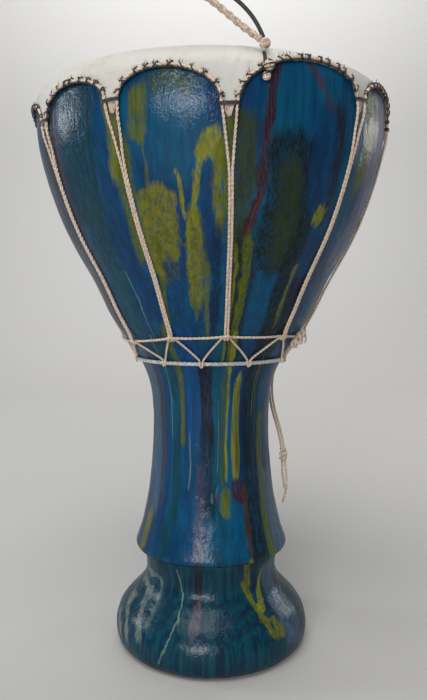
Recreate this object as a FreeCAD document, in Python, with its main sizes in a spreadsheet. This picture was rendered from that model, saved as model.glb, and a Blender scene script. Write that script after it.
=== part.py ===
import FreeCAD, Part

import math
import os
import Sketcher

# Goblet drum: a fired clay shell, a goatskin head with a scalloped skirt, and the cords that hold it.
# Millimetres. +Z is up, the foot stands on Z = 0 and the drum's axis is the Z axis.
# Angles are degrees round that axis, 0 towards -Y and rising towards +X.

doc = FreeCAD.newDocument("goblet_drum")
sheet = doc.addObject("Spreadsheet::Sheet", "sizes")

# ---------------------------------------------------------------- driving sizes

SIZES = {
    # shell, from the foot up: each rise is the height above the section before it, and the bowl's lower
    # sections are shares of its widest radius, so that it keeps its curve at another size
    "floor_radius": 67.0,
    "lip_low_radius": 74.6, "lip_low_rise": 5.0,
    "lip_radius": 76.3, "lip_rise": 9.0,
    "lip_top_radius": 72.6, "lip_top_rise": 13.0,
    "flare_radius": 62.0, "flare_rise": 12.5,
    "foot_waist_radius": 53.2, "foot_waist_rise": 11.5,
    "neck_radius": 51.4, "neck_rise": 13.0,
    "ledge_radius": 60.8, "ledge_rise": 13.0,
    "collar_radius": 54.1, "collar_rise": 21.0,
    "stem_low_radius": 48.5, "stem_low_rise": 30.0,
    "stem_radius": 45.5, "stem_rise": 40.0,
    "stem_high_radius": 47.9, "stem_high_rise": 37.0,
    "lower_seat_radius": 56.3, "lower_seat_rise": 21.0,
    "upper_seat_radius": 67.7, "upper_seat_rise": 17.0,
    "bowl_low_radius": "=bowl_radius * bowl_low_share", "bowl_low_share": 0.6434,
    "bowl_low_rise": 27.0,
    "bowl_mid_radius": "=bowl_radius * bowl_mid_share", "bowl_mid_share": 0.7651,
    "bowl_mid_rise": 30.0,
    "bowl_high_radius": "=bowl_radius * bowl_high_share", "bowl_high_share": 0.907,
    "bowl_high_rise": 40.0,
    "bowl_upper_radius": "=bowl_radius * bowl_upper_share", "bowl_upper_share": 0.9798,
    "bowl_upper_rise": 32.0,
    "bowl_radius": 129.0, "bowl_rise": 24.0,
    "rim_rise": 24.5,
    "rim_round": 15.0,
    "ledge_round": 2.0,
    "shell_wall": 7.0,
    "mouth_radius": 60.0,
    "rim_land": 3.5,
    "rim_inner_round": 2.0,
    # skin head
    "skin_thickness": 1.1,
    "skin_clearance": 0.15,
    "skirt_drop": 45.0,
    "arch_fullness": 0.9,
    "tip_half_width": 4.6,
    "tab_length": 7.0,
    "tab_half_width": 1.8,
    # cords and thread
    "cord_diameter": 2.0,
    "cord_clearance": 0.15,
    "strand_gap": 0.1,
    "merge_drop": 38.0,
    "lower_ring_diameter": 3.0,
    "ring_sag": 0.7,
    "lacing_diameter": 1.8,
    "lacing_gap": 0.3,
    "lacing_top_shift": 1.6,
    "lacing_foot_shift": 1.2,
    "knot_clearance": 0.35,
    "upper_wrap_half_width": 3.2,
    "upper_wrap_half_height": 2.8,
    "lower_wrap_half_width": 2.6,
    "lower_wrap_half_height": 3.3,
    "thread_diameter": 0.8,
    "stitch_pitch": 7.0,
    "stitch_loop_radius": 1.8,
    "lashing_drop": 1.0,
    "lashing_overhang": 1.5,
    # carry loop at the rim
    "rope_diameter": 4.0,
    "loop_cord_diameter": 2.5,
    "loop_knot_radius": 4.0,
    "rim_lump_radius": 3.0,
    "rim_thread_diameter": 1.2,
    "loop_angle": 14.3,
    # cord tail at the waist
    "tail_diameter": 2.0,
    "tail_gap": 0.2,
    "tail_knot_half_height": 6.5,
    "tail_knot_radius": 4.0,
    "waist_knot_angle": 68.0,
    "waist_knot_radius": 4.2,
    "leg_rise": 1.6,
    "hitch_angle": 118.0,
    "hitch_half_height": 2.5,
    "body_gap": 0.4,
    "hitch_gap": 2.2,
}

# One value for each of the ten scallops, anticlockwise from above, starting at the left of the front.
# Drops are below the rim, and node rises are above the upper ring's seat.
TIP_ANGLES = [-57.5, -26.9, 4.9, 46.9, 83.4, 119.9, 156.4, 192.9, 229.4, 265.9]
TIP_DROPS = [30.5, 29.0, 34.0, 21.5, 23.5, 26.5, 28.5, 29.5, 30.5, 30.5]
ARCH_DROPS = [14.5, 13.5, 6.5, 8.0, 10.5, 12.5, 14.5, 14.5, 15.0, 15.0]
NODE_ANGLES = [-56.0, -22.5, 8.5, 46.7, 83.0, 120.0, 157.0, 193.0, 230.0, 267.0]
NODE_RISES = [-2.0, 1.9, 3.2, 2.2, 0.5, -0.5, -1.5, -2.0, -2.5, -2.5]
LACE_ANGLES = [-34.3, -6.4, 27.2, 65.0, 101.5, 138.5, 175.0, 211.5, 248.5, 285.5]
SCALLOPS = len(TIP_ANGLES)


def put_sizes(values):
    """Write each named size into the sheet as plain text and give its cell the name."""
    for row, (name, value) in enumerate(values.items(), start=1):
        sheet.set("A%d" % row, name)
        sheet.set("B%d" % row, str(value))
        sheet.setAlias("B%d" % row, name)


for series, numbers in (
    ("tip_angle", TIP_ANGLES),
    ("tip_drop", TIP_DROPS),
    ("arch_drop", ARCH_DROPS),
    ("node_angle", NODE_ANGLES),
    ("node_rise", NODE_RISES),
    ("lace_angle", LACE_ANGLES),
):
    for index, number in enumerate(numbers):
        SIZES["%s_%02d" % (series, index + 1)] = number

put_sizes(SIZES)
doc.recompute()


def size(name):
    """The sheet's present value of a named size."""
    return float(sheet.get(name))


def cell(name):
    """The name of a size as an expression reads it."""
    return "sizes." + name


# ---------------------------------------------------------------- clay shell

# A sketch's circle starts at this radius, and its constraint then takes the sheet's.
FIRST_RADIUS = 50.0
EDGE_FINDING = 0.1
# The largest share of its volume that the shell keeps when it is hollowed and when the rim is opened.
HOLLOWED_SHARE = 0.6
OPENED_SHARE = 0.98
# A cut runs this far past the clay or skin that it goes through.
CUT_OVERRUN = 1.0

SECTIONS = [
    "lip_low", "lip", "lip_top", "flare", "foot_waist", "neck", "ledge", "collar", "stem_low", "stem",
    "stem_high", "lower_seat", "upper_seat", "bowl_low", "bowl_mid", "bowl_high", "bowl_upper", "bowl", "rim",
]


def height_expression(section):
    """The height of a section: the sum of the rises up to it."""
    steps = SECTIONS[: SECTIONS.index(section) + 1]
    return " + ".join(cell(step + "_rise") for step in steps)


def height(section):
    steps = SECTIONS[: SECTIONS.index(section) + 1]
    return sum(size(step + "_rise") for step in steps)


def origin_plane(body, role):
    """One of the body's own origin planes."""
    return next(item for item in body.Origin.OriginFeatures if item.Role == role)


def circle_sketch(body, name, radius_expression, height_text):
    """A circle round the drum's axis at a height, both bound to the sheet."""
    sketch = body.newObject("Sketcher::SketchObject", name)
    sketch.AttachmentSupport = (origin_plane(body, "XY_Plane"), [""])
    sketch.MapMode = "FlatFace"
    sketch.setExpression(".AttachmentOffset.Base.z", height_text)
    sketch.addGeometry(Part.Circle(FreeCAD.Vector(0, 0, 0), FreeCAD.Vector(0, 0, 1), FIRST_RADIUS), False)
    sketch.addConstraint(Sketcher.Constraint("Coincident", 0, 3, -1, 1))
    sketch.addConstraint(Sketcher.Constraint("Radius", 0, FIRST_RADIUS))
    sketch.renameConstraint(1, "radius")
    sketch.setExpression("Constraints.radius", radius_expression)
    sketch.Visibility = False
    return sketch


def loft(body, kind, name, rings):
    """A smooth loft through rings given as (name, radius expression, height expression)."""
    sketches = [circle_sketch(body, "%s_%s" % (name, ring), radius, level) for ring, radius, level in rings]
    feature = body.newObject(kind, name)
    feature.Profile = sketches[0]
    feature.Sections = sketches[1:]
    feature.Ruled = False
    feature.Closed = False
    body.Tip = feature
    doc.recompute()
    return feature


def ring_edge(shape, radius, level):
    """The name of the circular edge of a given radius at a given height."""
    for number, edge in enumerate(shape.Edges, start=1):
        box = edge.BoundBox
        flat = abs(box.ZMax - level) < EDGE_FINDING and abs(box.ZMin - level) < EDGE_FINDING
        if flat and abs(box.XMax - radius) < EDGE_FINDING:
            return "Edge%d" % number
    raise ValueError("no edge of radius %.1f at height %.1f" % (radius, level))


def make_shell():
    body = doc.addObject("PartDesign::Body", "drum_shell")
    sections = [(name, cell(name + "_radius"), height_expression(name)) for name in SECTIONS[:-1]]
    foot = [("floor", cell("floor_radius"), "0")] + sections[:6]
    foot += [("root", cell("neck_radius"), height_expression("ledge") + " + " + cell("ledge_round"))]
    loft(body, "PartDesign::AdditiveLoft", "foot", foot)
    loft(body, "PartDesign::AdditiveLoft", "goblet", sections[6:])

    band_sketch = circle_sketch(body, "rim_circle", cell("bowl_radius"), height_expression("bowl"))
    band = body.newObject("PartDesign::Pad", "rim_band")
    band.Profile = band_sketch
    band.setExpression("Length", cell("rim_rise"))
    body.Tip = band
    doc.recompute()

    shoulder = body.newObject("PartDesign::Fillet", "shoulder")
    shoulder.Base = (band, [ring_edge(band.Shape, size("bowl_radius"), height("rim"))])
    shoulder.setExpression("Radius", cell("rim_round"))
    body.Tip = shoulder
    doc.recompute()

    ledge = body.newObject("PartDesign::Fillet", "ledge_edge")
    ledge.Base = (shoulder, [ring_edge(shoulder.Shape, size("ledge_radius"), height("ledge"))])
    ledge.setExpression("Radius", cell("ledge_round"))
    body.Tip = ledge
    doc.recompute()
    solid_volume = ledge.Shape.Volume

    hollow = [("mouth", cell("mouth_radius"), str(-CUT_OVERRUN))]
    for name in ("flare", "neck", "stem_low", "stem", "stem_high", "upper_seat", "bowl_low", "bowl_mid",
                 "bowl_high", "bowl_upper", "bowl"):
        hollow.append((name, cell(name + "_radius") + " - " + cell("shell_wall"), height_expression(name)))
    opening_radius = " - ".join(cell(name) for name in ("bowl_radius", "rim_round", "rim_land"))
    opening_height = height_expression("rim") + " - " + cell("rim_round")
    hollow.append(("throat", opening_radius, opening_height))
    cavity = loft(body, "PartDesign::SubtractiveLoft", "cavity", hollow)
    if cavity.Shape.Volume > HOLLOWED_SHARE * solid_volume:
        raise ValueError("the cavity did not cut the shell")

    opening = body.newObject("PartDesign::Pocket", "rim_opening")
    opening.Profile = circle_sketch(body, "opening_circle", opening_radius, opening_height)
    opening.Reversed = True
    opening.setExpression("Length", "%s + %s" % (cell("rim_round"), CUT_OVERRUN))
    body.Tip = opening
    doc.recompute()
    if opening.Shape.Volume > OPENED_SHARE * cavity.Shape.Volume:
        raise ValueError("the rim opening did not cut the shell")

    inner = body.newObject("PartDesign::Fillet", "rim_inner_edge")
    rim_hole = size("bowl_radius") - size("rim_round") - size("rim_land")
    inner.Base = (opening, [ring_edge(opening.Shape, rim_hole, height("rim"))])
    inner.setExpression("Radius", cell("rim_inner_round"))
    body.Tip = inner
    doc.recompute()
    return body


shell = make_shell()


# ---------------------------------------------------------------- places on the shell

RIM = height("rim")
SHOULDER = RIM - size("rim_round")
ARC_RADIUS = size("bowl_radius") - size("rim_round")
OUTLINE_STEP = 2.0
OUTLINE_SPACING = 0.1


def measured_outline():
    """The shell's outer radius at even heights from the collar to the shoulder, cut from the solid."""
    low = height("collar")
    count = int((SHOULDER - low) / OUTLINE_STEP)
    widest = [0.0] * (count + 1)
    for wire in shell.Shape.slice(FreeCAD.Vector(0, 1, 0), 0.0):
        for point in wire.discretize(Distance=OUTLINE_SPACING):
            step = round((point.z - low) / (SHOULDER - low) * count)
            if 0 <= step <= count:
                widest[step] = max(widest[step], abs(point.x))
    return [(low + (SHOULDER - low) * step / count, radius) for step, radius in enumerate(widest)]


OUTLINE = measured_outline()


def shell_radius(level):
    """The outer radius of the shell at a height, between the collar and the rim."""
    if level >= SHOULDER:
        rise = min(level - SHOULDER, size("rim_round"))
        return ARC_RADIUS + math.sqrt(size("rim_round") ** 2 - rise ** 2)
    share = (level - OUTLINE[0][0]) / (OUTLINE[-1][0] - OUTLINE[0][0]) * (len(OUTLINE) - 1)
    first = min(max(int(share), 0), len(OUTLINE) - 2)
    part = share - first
    return OUTLINE[first][1] * (1 - part) + OUTLINE[first + 1][1] * part


def on_shell(angle, level, standoff=0.0):
    """The point at an angle and a height, held off the shell along its normal."""
    slope = (shell_radius(level + 1.0) - shell_radius(level - 1.0)) / 2.0
    length = math.hypot(1.0, slope)
    radius = shell_radius(level) + standoff / length
    turn = math.radians(angle)
    return FreeCAD.Vector(
        radius * math.sin(turn), -radius * math.cos(turn), level - standoff * slope / length
    )


def outward(angle):
    turn = math.radians(angle)
    return FreeCAD.Vector(math.sin(turn), -math.cos(turn), 0)


def along(angle):
    turn = math.radians(angle)
    return FreeCAD.Vector(math.cos(turn), math.sin(turn), 0)


# ---------------------------------------------------------------- scallops

def scallop(index):
    """The angles and heights of one scallop's two tips, its top and its half width on the skirt."""
    left = "%02d" % (index + 1)
    right = "%02d" % ((index + 1) % SCALLOPS + 1)
    start = size("tip_angle_" + left)
    end = size("tip_angle_" + right)
    if end < start:
        end += 360.0
    skirt_radius = size("bowl_radius") + size("skin_clearance") + size("skin_thickness")
    half = skirt_radius * math.sin(math.radians(end - start) / 2) - size("tip_half_width")
    return {
        "start": start,
        "end": end,
        "middle": (start + end) / 2,
        "left": RIM - size("tip_drop_" + left),
        "right": RIM - size("tip_drop_" + right),
        "top": RIM - size("arch_drop_" + left),
        "half": half,
        "radius": skirt_radius,
    }


def arch_place(arch, share):
    """Along the arch from 0 at its left foot to 1 at its right: sideways distance and height."""
    turn = math.pi * share
    side = -arch["half"] * math.cos(turn)
    foot = arch["left"] * (1 - share) + arch["right"] * share
    rise = arch["top"] - (arch["left"] + arch["right"]) / 2
    return side, foot + rise * math.sin(turn) ** size("arch_fullness")


def arch_angle(arch, side):
    return arch["middle"] + math.degrees(math.asin(side / arch["radius"]))


# ---------------------------------------------------------------- skin head

# The tab's end slopes by this much, and a scallop's cutter reaches this share of the way to the axis.
TAB_BEVEL = 0.5
CUTTER_DEPTH = 0.6
SKIRT_STEPS = 6


def make_skin():
    """A cap turned from its section, with a scallop cut out of its skirt between each two tips."""
    inner = size("skin_clearance")
    outer = inner + size("skin_thickness")
    hem = RIM - size("skirt_drop")
    diagonal = math.sqrt(0.5)
    hem_radius = shell_radius(hem)
    round_radius = size("rim_round")

    def arc(offset):
        reach = round_radius + offset
        start = FreeCAD.Vector(ARC_RADIUS + reach, 0, SHOULDER)
        middle = FreeCAD.Vector(ARC_RADIUS + reach * diagonal, 0, SHOULDER + reach * diagonal)
        end = FreeCAD.Vector(ARC_RADIUS, 0, SHOULDER + reach)
        return start, middle, end

    def skirt_curve(offset):
        """The skirt follows the bowl from the hem to the shoulder."""
        points = []
        for step in range(SKIRT_STEPS + 1):
            level = hem + (SHOULDER - hem) * step / SKIRT_STEPS
            points.append(FreeCAD.Vector(shell_radius(level) + offset, 0, level))
        curve = Part.BSplineCurve()
        curve.interpolate(points)
        return curve.toShape(), points[0], points[-1]

    outer_skirt, outer_hem, outer_start = skirt_curve(outer)
    inner_skirt, inner_hem, inner_start = skirt_curve(inner)
    outer_arc = arc(outer)
    inner_arc = arc(inner)
    top = FreeCAD.Vector(0, 0, outer_arc[2].z)
    under = FreeCAD.Vector(0, 0, inner_arc[2].z)
    outer_shoulder = Part.Arc(outer_start, outer_arc[1], outer_arc[2]).toShape()
    inner_shoulder = Part.Arc(inner_start, inner_arc[1], inner_arc[2]).toShape()
    edges = [
        outer_skirt,
        outer_shoulder,
        Part.makeLine(outer_arc[2], top),
        Part.makeLine(top, under),
        Part.makeLine(under, inner_arc[2]),
        inner_shoulder,
        inner_skirt,
        Part.makeLine(inner_hem, outer_hem),
    ]
    section = Part.Face(Part.Wire(Part.__sortEdges__(edges)))
    cap = section.revolve(FreeCAD.Vector(0, 0, 0), FreeCAD.Vector(0, 0, 1), 360)
    for index in range(SCALLOPS):
        cap = cap.cut(scallop_cutter(scallop(index), hem))
    solid = max(cap.Solids, key=lambda piece: piece.Volume)
    feature = doc.addObject("Part::Feature", "drum_skin")
    feature.Shape = solid
    return feature


def scallop_cutter(arch, hem):
    """A block that points outwards, with the scallop as its top and the tips' tabs at its sides."""
    steps = 12
    tab_end = size("tip_half_width") - size("tab_half_width")
    past_tip = size("tip_half_width") + CUT_OVERRUN
    low = hem - CUT_OVERRUN
    flat = []
    for step in range(steps + 1):
        side, level = arch_place(arch, step / steps)
        flat.append(FreeCAD.Vector(side, 0, level))
    curve = Part.BSplineCurve()
    curve.interpolate(flat)
    left_tab = arch["left"] - size("tab_length")
    right_tab = arch["right"] - size("tab_length")
    corners = [
        flat[-1],
        FreeCAD.Vector(arch["half"] + tab_end, 0, right_tab),
        FreeCAD.Vector(arch["half"] + past_tip, 0, right_tab - TAB_BEVEL),
        FreeCAD.Vector(arch["half"] + past_tip, 0, low),
        FreeCAD.Vector(-arch["half"] - past_tip, 0, low),
        FreeCAD.Vector(-arch["half"] - past_tip, 0, left_tab - TAB_BEVEL),
        FreeCAD.Vector(-arch["half"] - tab_end, 0, left_tab),
        flat[0],
    ]
    edges = [curve.toShape()] + [Part.makeLine(a, b) for a, b in zip(corners, corners[1:])]
    face = Part.Face(Part.Wire(Part.__sortEdges__(edges)))
    reach = arch["radius"] + CUT_OVERRUN
    face.translate(FreeCAD.Vector(0, -reach, 0))
    block = face.extrude(FreeCAD.Vector(0, reach * CUTTER_DEPTH, 0))
    block.rotate(FreeCAD.Vector(0, 0, 0), FreeCAD.Vector(0, 0, 1), arch["middle"])
    return block


skin = make_skin()


# ---------------------------------------------------------------- cords and knots

made = {"drum_shell": shell, "drum_skin": skin}

# An arc takes this share of the shorter of its two runs, and a swept cord's volume may be this far out.
ARC_SHARE = 0.45
VOLUME_SHARE = 0.02


def add_piece(name, solids):
    """One node: a single solid, or a group of separate solids that share the node."""
    feature = doc.addObject("Part::Feature", name)
    feature.Shape = solids[0] if len(solids) == 1 else Part.makeCompound(solids)
    made[name] = feature
    return feature


def tube(path, diameter):
    """A round cord swept along a wire."""
    start = path.Edges[0].valueAt(path.Edges[0].FirstParameter)
    heading = path.Edges[0].tangentAt(path.Edges[0].FirstParameter)
    ring = Part.Wire([Part.makeCircle(diameter / 2, start, heading)])
    solid = Part.Wire(path.Edges).makePipeShell([ring], True, True)
    if solid.Volume < 0:
        solid.reverse()
    return solid


def smooth_path(points):
    """Straight runs joined by tangent arcs, each as large as its two runs allow, and the arcs' radii."""
    edges = []
    radii = []
    start = points[0]
    for before, corner, after in zip(points, points[1:], points[2:]):
        run_in = corner - before
        run_out = after - corner
        half_turn = run_in.getAngle(run_out) / 2
        cut = ARC_SHARE * min(run_in.Length, run_out.Length)
        radii.append(cut / math.tan(half_turn))
        way_in = FreeCAD.Vector(run_in).normalize()
        way_out = FreeCAD.Vector(run_out).normalize()
        arc_start = corner - way_in * cut
        arc_end = corner + way_out * cut
        to_middle = (way_out - way_in).normalize()
        offset = radii[-1] / math.cos(half_turn) - radii[-1]
        edges.append(Part.LineSegment(start, arc_start).toShape())
        edges.append(Part.Arc(arc_start, corner + to_middle * offset, arc_end).toShape())
        start = arc_end
    edges.append(Part.LineSegment(start, points[-1]).toShape())
    return Part.Wire(edges), radii


def held_cord(points, diameter):
    """A cord that the drum holds all along its path."""
    return tube(smooth_path(points)[0], diameter)


def closed_cord(points, diameter):
    """A level ring of cord: its section keeps upright all the way round, so the ends meet."""
    curve = Part.BSplineCurve()
    curve.interpolate(points, PeriodicFlag=True)
    start = curve.value(curve.FirstParameter)
    heading = curve.tangent(curve.FirstParameter)[0]
    sweep = Part.BRepOffsetAPI.MakePipeShell(Part.Wire([curve.toShape()]))
    sweep.setBiNormalMode(FreeCAD.Vector(0, 0, 1))
    sweep.add(Part.Wire([Part.makeCircle(diameter / 2, start, heading)]))
    sweep.build()
    sweep.makeSolid()
    solid = sweep.shape()
    if solid.Volume < 0:
        solid.reverse()
    return solid


def free_cord(name, points, diameter):
    """A loose cord, whose swept volume is compared with its section times its length."""
    path, radii = smooth_path(points)
    solid = tube(path, diameter)
    expected = math.pi * diameter ** 2 / 4 * path.Length
    if abs(solid.Volume - expected) > VOLUME_SHARE * expected:
        raise ValueError("%s: swept volume %.1f, expected %.1f" % (name, solid.Volume, expected))
    print(name, "length %.1f mm, arc radii" % path.Length, [round(radius, 1) for radius in radii])
    return add_piece(name, [solid])


def pebble(centre, angle, outward_half, sideways_half, upward_half):
    """An egg-shaped solid for a wrap or a knot, with its own half sizes."""
    egg = Part.makeSphere(1.0)
    scale = FreeCAD.Matrix()
    scale.scale(sideways_half, outward_half, upward_half)
    egg = egg.transformGeometry(scale)
    egg.rotate(FreeCAD.Vector(0, 0, 0), FreeCAD.Vector(0, 0, 1), angle)
    egg.translate(centre)
    return egg


CORD = size("cord_diameter")
LACING = size("lacing_diameter")
LOWER_RING = size("lower_ring_diameter")
CLEAR = size("cord_clearance")
KNOT_CLEAR = size("knot_clearance")
CORD_STANDOFF = CORD / 2 + CLEAR
SKIN_LEVEL = size("skin_clearance") + size("skin_thickness")
EDGE_STANDOFF = SKIN_LEVEL + CORD_STANDOFF
UPPER_SEAT = height("upper_seat")
LOWER_SEAT = height("lower_seat")

# How finely the cords follow their seats.
LEG_STEPS = 8
SPLIT_SHARES = (0.25, 0.5, 0.72, 0.88)
ARCH_STEPS = 14
RING_SHARES = (0.33, 0.67)
LOWER_RING_STEPS = 24
LACING_STEPS = 6
# Over this part of the split a strand climbs from the clay onto the skin.
CLIMB_START = 0.5
CLIMB_LENGTH = 0.22
# A lashing's corners, as a share of its reach and depth.
LASHING_CORNER = 0.8


def node_place(index):
    """The angle and height of a knot on the upper waist ring."""
    label = "%02d" % (index % SCALLOPS + 1)
    return size("node_angle_" + label), UPPER_SEAT + size("node_rise_" + label)


def leg_points(node_index, tip_angle, tip_level, side):
    """One strand from the waist ring up to a tip; side is -1 left or 1 right of the pair's middle."""
    node_angle, node_level = node_place(node_index)
    if tip_angle - node_angle > 180:
        node_angle += 360
    if node_angle - tip_angle > 180:
        node_angle -= 360
    together = (CORD + size("strand_gap")) / 2
    apart = size("tip_half_width")
    merge = tip_level - size("merge_drop")
    lowest = node_level + CORD / 2 + CLEAR + KNOT_CLEAR
    levels = [lowest + (merge - lowest) * step / LEG_STEPS for step in range(LEG_STEPS + 1)]
    levels += [merge + (tip_level - merge) * share for share in SPLIT_SHARES]
    points = []
    for level in levels:
        spread = max(0.0, (level - merge) / (tip_level - merge))
        sideways = together + (apart - together) * spread
        middle = node_angle + (tip_angle - node_angle) * (level - node_level) / (tip_level - node_level)
        climb = min(1.0, max(0.0, (spread - CLIMB_START) / CLIMB_LENGTH))
        shift = math.degrees(sideways / shell_radius(level))
        points.append(on_shell(middle + side * shift, level, CORD_STANDOFF + SKIN_LEVEL * climb))
    return points


def arch_points(arch):
    points = []
    for step in range(ARCH_STEPS + 1):
        side, level = arch_place(arch, step / ARCH_STEPS)
        points.append(on_shell(arch_angle(arch, side), level, EDGE_STANDOFF))
    return points


def make_tension_cord(index):
    """Up from one waist knot, over the scallop's edge and down to the next waist knot."""
    arch = scallop(index)
    up = leg_points(index, arch["start"], arch["left"], 1)
    down = leg_points(index + 1, arch["end"], arch["right"], -1)
    return held_cord(up + arch_points(arch) + down[::-1], CORD)


def make_stitches(index):
    """Black thread loops that whip the cord to the edge of the skin along one scallop."""
    path = smooth_path(arch_points(scallop(index)))[0]
    count = int(path.Length / size("stitch_pitch"))
    marks = path.discretize(Number=2 * count + 1)
    loops = []
    for before, middle, after in zip(marks[0::2], marks[1::2], marks[2::2]):
        heading = after - before
        loops.append(Part.makeTorus(size("stitch_loop_radius"), size("thread_diameter") / 2, middle, heading))
    return loops


def make_tip_lashing(index):
    """The black thread tied across a tip, round both of its strands."""
    arch = scallop(index)
    reach = size("tip_half_width") + size("lashing_overhang")
    depth = size("stitch_loop_radius")
    centre = on_shell(arch["start"], arch["left"] - size("lashing_drop"), EDGE_STANDOFF)
    across = along(arch["start"])
    out = outward(arch["start"])
    corner = LASHING_CORNER
    shares = [(-1, 0), (-corner, corner), (0, 1), (corner, corner), (1, 0), (corner, -corner), (0, -1),
              (-corner, -corner)]
    loop = [centre + across * reach * a + out * depth * b for a, b in shares]
    return closed_cord(loop, size("thread_diameter"))


def make_upper_ring():
    """The cord round the waist that gathers the tension cords; it rises a little at each knot."""
    points = []
    for index in range(SCALLOPS):
        angle, level = node_place(index)
        next_angle, next_level = node_place(index + 1)
        if next_angle < angle:
            next_angle += 360
        points.append(on_shell(angle, level, CORD_STANDOFF))
        for share in RING_SHARES:
            between = level + (next_level - level) * share - size("ring_sag")
            points.append(on_shell(angle + (next_angle - angle) * share, between, CORD_STANDOFF))
    return closed_cord(points, CORD)


def make_lower_ring():
    points = []
    for step in range(LOWER_RING_STEPS):
        points.append(on_shell(360 * step / LOWER_RING_STEPS, LOWER_SEAT, LOWER_RING / 2 + CLEAR))
    return closed_cord(points, LOWER_RING)


def lacing_run(node_index, low_angle, side):
    """One straight run of the lacing, from beside a knot above down to a turn on the lower ring."""
    angle, level = node_place(node_index)
    if angle < low_angle - 180:
        angle += 360
    top_level = level - (CORD + LACING) / 2 - size("lacing_gap")
    low_level = LOWER_SEAT + (LOWER_RING + LACING) / 2 + CLEAR
    top_angle = angle + side * math.degrees(size("lacing_top_shift") / shell_radius(level))
    foot_angle = low_angle - side * math.degrees(size("lacing_foot_shift") / shell_radius(LOWER_SEAT))
    points = []
    for step in range(LACING_STEPS + 1):
        share = step / LACING_STEPS
        run_angle = top_angle + (foot_angle - top_angle) * share
        points.append(on_shell(run_angle, top_level + (low_level - top_level) * share, LACING / 2 + CLEAR))
    return held_cord(points, LACING)


def make_lacing():
    """The zigzag between the two rings."""
    runs = []
    for index in range(SCALLOPS):
        low_angle = size("lace_angle_%02d" % (index + 1))
        runs.append(lacing_run(index, low_angle, 1))
        runs.append(lacing_run(index + 1, low_angle, -1))
    return runs


def make_upper_wraps():
    """The knots where two strands, the ring and the lacing meet."""
    wraps = []
    for index in range(SCALLOPS):
        angle, level = node_place(index)
        centre = on_shell(angle, level, CORD + KNOT_CLEAR)
        wide = size("upper_wrap_half_width")
        wraps.append(pebble(centre, angle, CORD, wide, size("upper_wrap_half_height")))
    return wraps


def make_lower_wraps():
    """The lacing's turns round the lower ring."""
    wraps = []
    half = (LOWER_RING + LACING / 2) / 2
    for index in range(SCALLOPS):
        angle = size("lace_angle_%02d" % (index + 1))
        centre = on_shell(angle, LOWER_SEAT, half + KNOT_CLEAR)
        wide = size("lower_wrap_half_width")
        wraps.append(pebble(centre, angle, half, wide, size("lower_wrap_half_height")))
    return wraps


for number in range(SCALLOPS):
    add_piece("tension_cord_%02d" % (number + 1), [make_tension_cord(number)])
for number in range(SCALLOPS):
    add_piece("edge_stitches_%02d" % (number + 1), make_stitches(number))
add_piece("tip_lashings", [make_tip_lashing(number) for number in range(SCALLOPS)])
add_piece("waist_ring_upper", [make_upper_ring()])
add_piece("waist_ring_lower", [make_lower_ring()])
add_piece("zigzag_lacing", make_lacing())
add_piece("upper_wraps", make_upper_wraps())
add_piece("lower_wraps", make_lower_wraps())


# ---------------------------------------------------------------- waist knot

# Each bight of the waist knot: how far round, how far up and how big, as shares of the knot's radius.
KNOT_BIGHTS = [(0.0, 0.1, 1.0), (0.6, 0.95, 0.8), (-0.3, -0.9, 0.8)]
BIGHT_WIDTH = 1.3
# The two legs: how far round from the knot each starts and ends, in degrees.
LEG_SHIFTS = [(1.5, 4.5), (4.5, 8.0)]
LEG_SHARES = (0.0, 0.33, 0.67, 1.0)


def make_waist_knot():
    """The tied ends of the upper ring: a bulky knot of three bights."""
    angle = size("waist_knot_angle")
    radius = size("waist_knot_radius")
    bights = []
    for aside, rise, share in KNOT_BIGHTS:
        turn = angle + math.degrees(aside * radius / shell_radius(UPPER_SEAT))
        centre = on_shell(turn, UPPER_SEAT + rise * radius, radius + KNOT_CLEAR)
        bights.append(pebble(centre, angle, radius * share, radius * share * BIGHT_WIDTH, radius))
    return bights[0].fuse(bights[1:])


def make_knot_legs():
    """Two strands from the waist knot down to the lower ring."""
    angle = size("waist_knot_angle")
    highest = UPPER_SEAT - size("waist_knot_radius")
    lowest = LOWER_SEAT + (LOWER_RING + LACING) / 2 + CLEAR
    legs = []
    for top_shift, foot_shift in LEG_SHIFTS:
        points = []
        for share in LEG_SHARES:
            turn = angle + top_shift + (foot_shift - top_shift) * share
            standoff = LACING / 2 + CLEAR + size("leg_rise") * (1 - share)
            points.append(on_shell(turn, highest + (lowest - highest) * share, standoff))
        legs.append(held_cord(points, LACING))
    return legs


add_piece("waist_knot", [make_waist_knot()])
add_piece("waist_knot_legs", make_knot_legs())


# ---------------------------------------------------------------- cord tail

HITCH_ANGLE = size("hitch_angle")
HITCH_HALF = size("hitch_half_height")
HITCH_CENTRE = on_shell(HITCH_ANGLE, LOWER_SEAT, HITCH_HALF + KNOT_CLEAR)
TAIL_START = HITCH_CENTRE - FreeCAD.Vector(0, 0, HITCH_HALF + size("hitch_gap"))

# Steps of the tail from where it leaves the hitch: +X, +Y and down.
TAIL_ROUTE = [
    (0.0, 0.0, 0.0), (-1.4, 1.0, -9.0), (-3.0, 2.2, -23.0), (-1.4, 0.2, -39.0), (3.6, -4.8, -56.0),
    (7.0, -7.6, -71.0), (7.6, -8.0, -85.0),
]
LONG_END = [(8.8, -8.2, -93.0), (9.6, -8.6, -102.5), (8.0, -9.0, -112.0), (6.0, -9.2, -118.0)]
SHORT_END = [(7.8, -7.0, -93.0), (9.0, -6.4, -101.0), (9.8, -6.4, -107.0)]
TAIL_KNOT_STEP = FreeCAD.Vector(7.3, -7.8, -78.5)
HITCH_WIDTH = 1.2
TAIL_KNOT_WIDTH = 1.1


def route(start, steps, sideways):
    return [start + FreeCAD.Vector(x + sideways, y, z) for x, y, z in steps]


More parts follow.
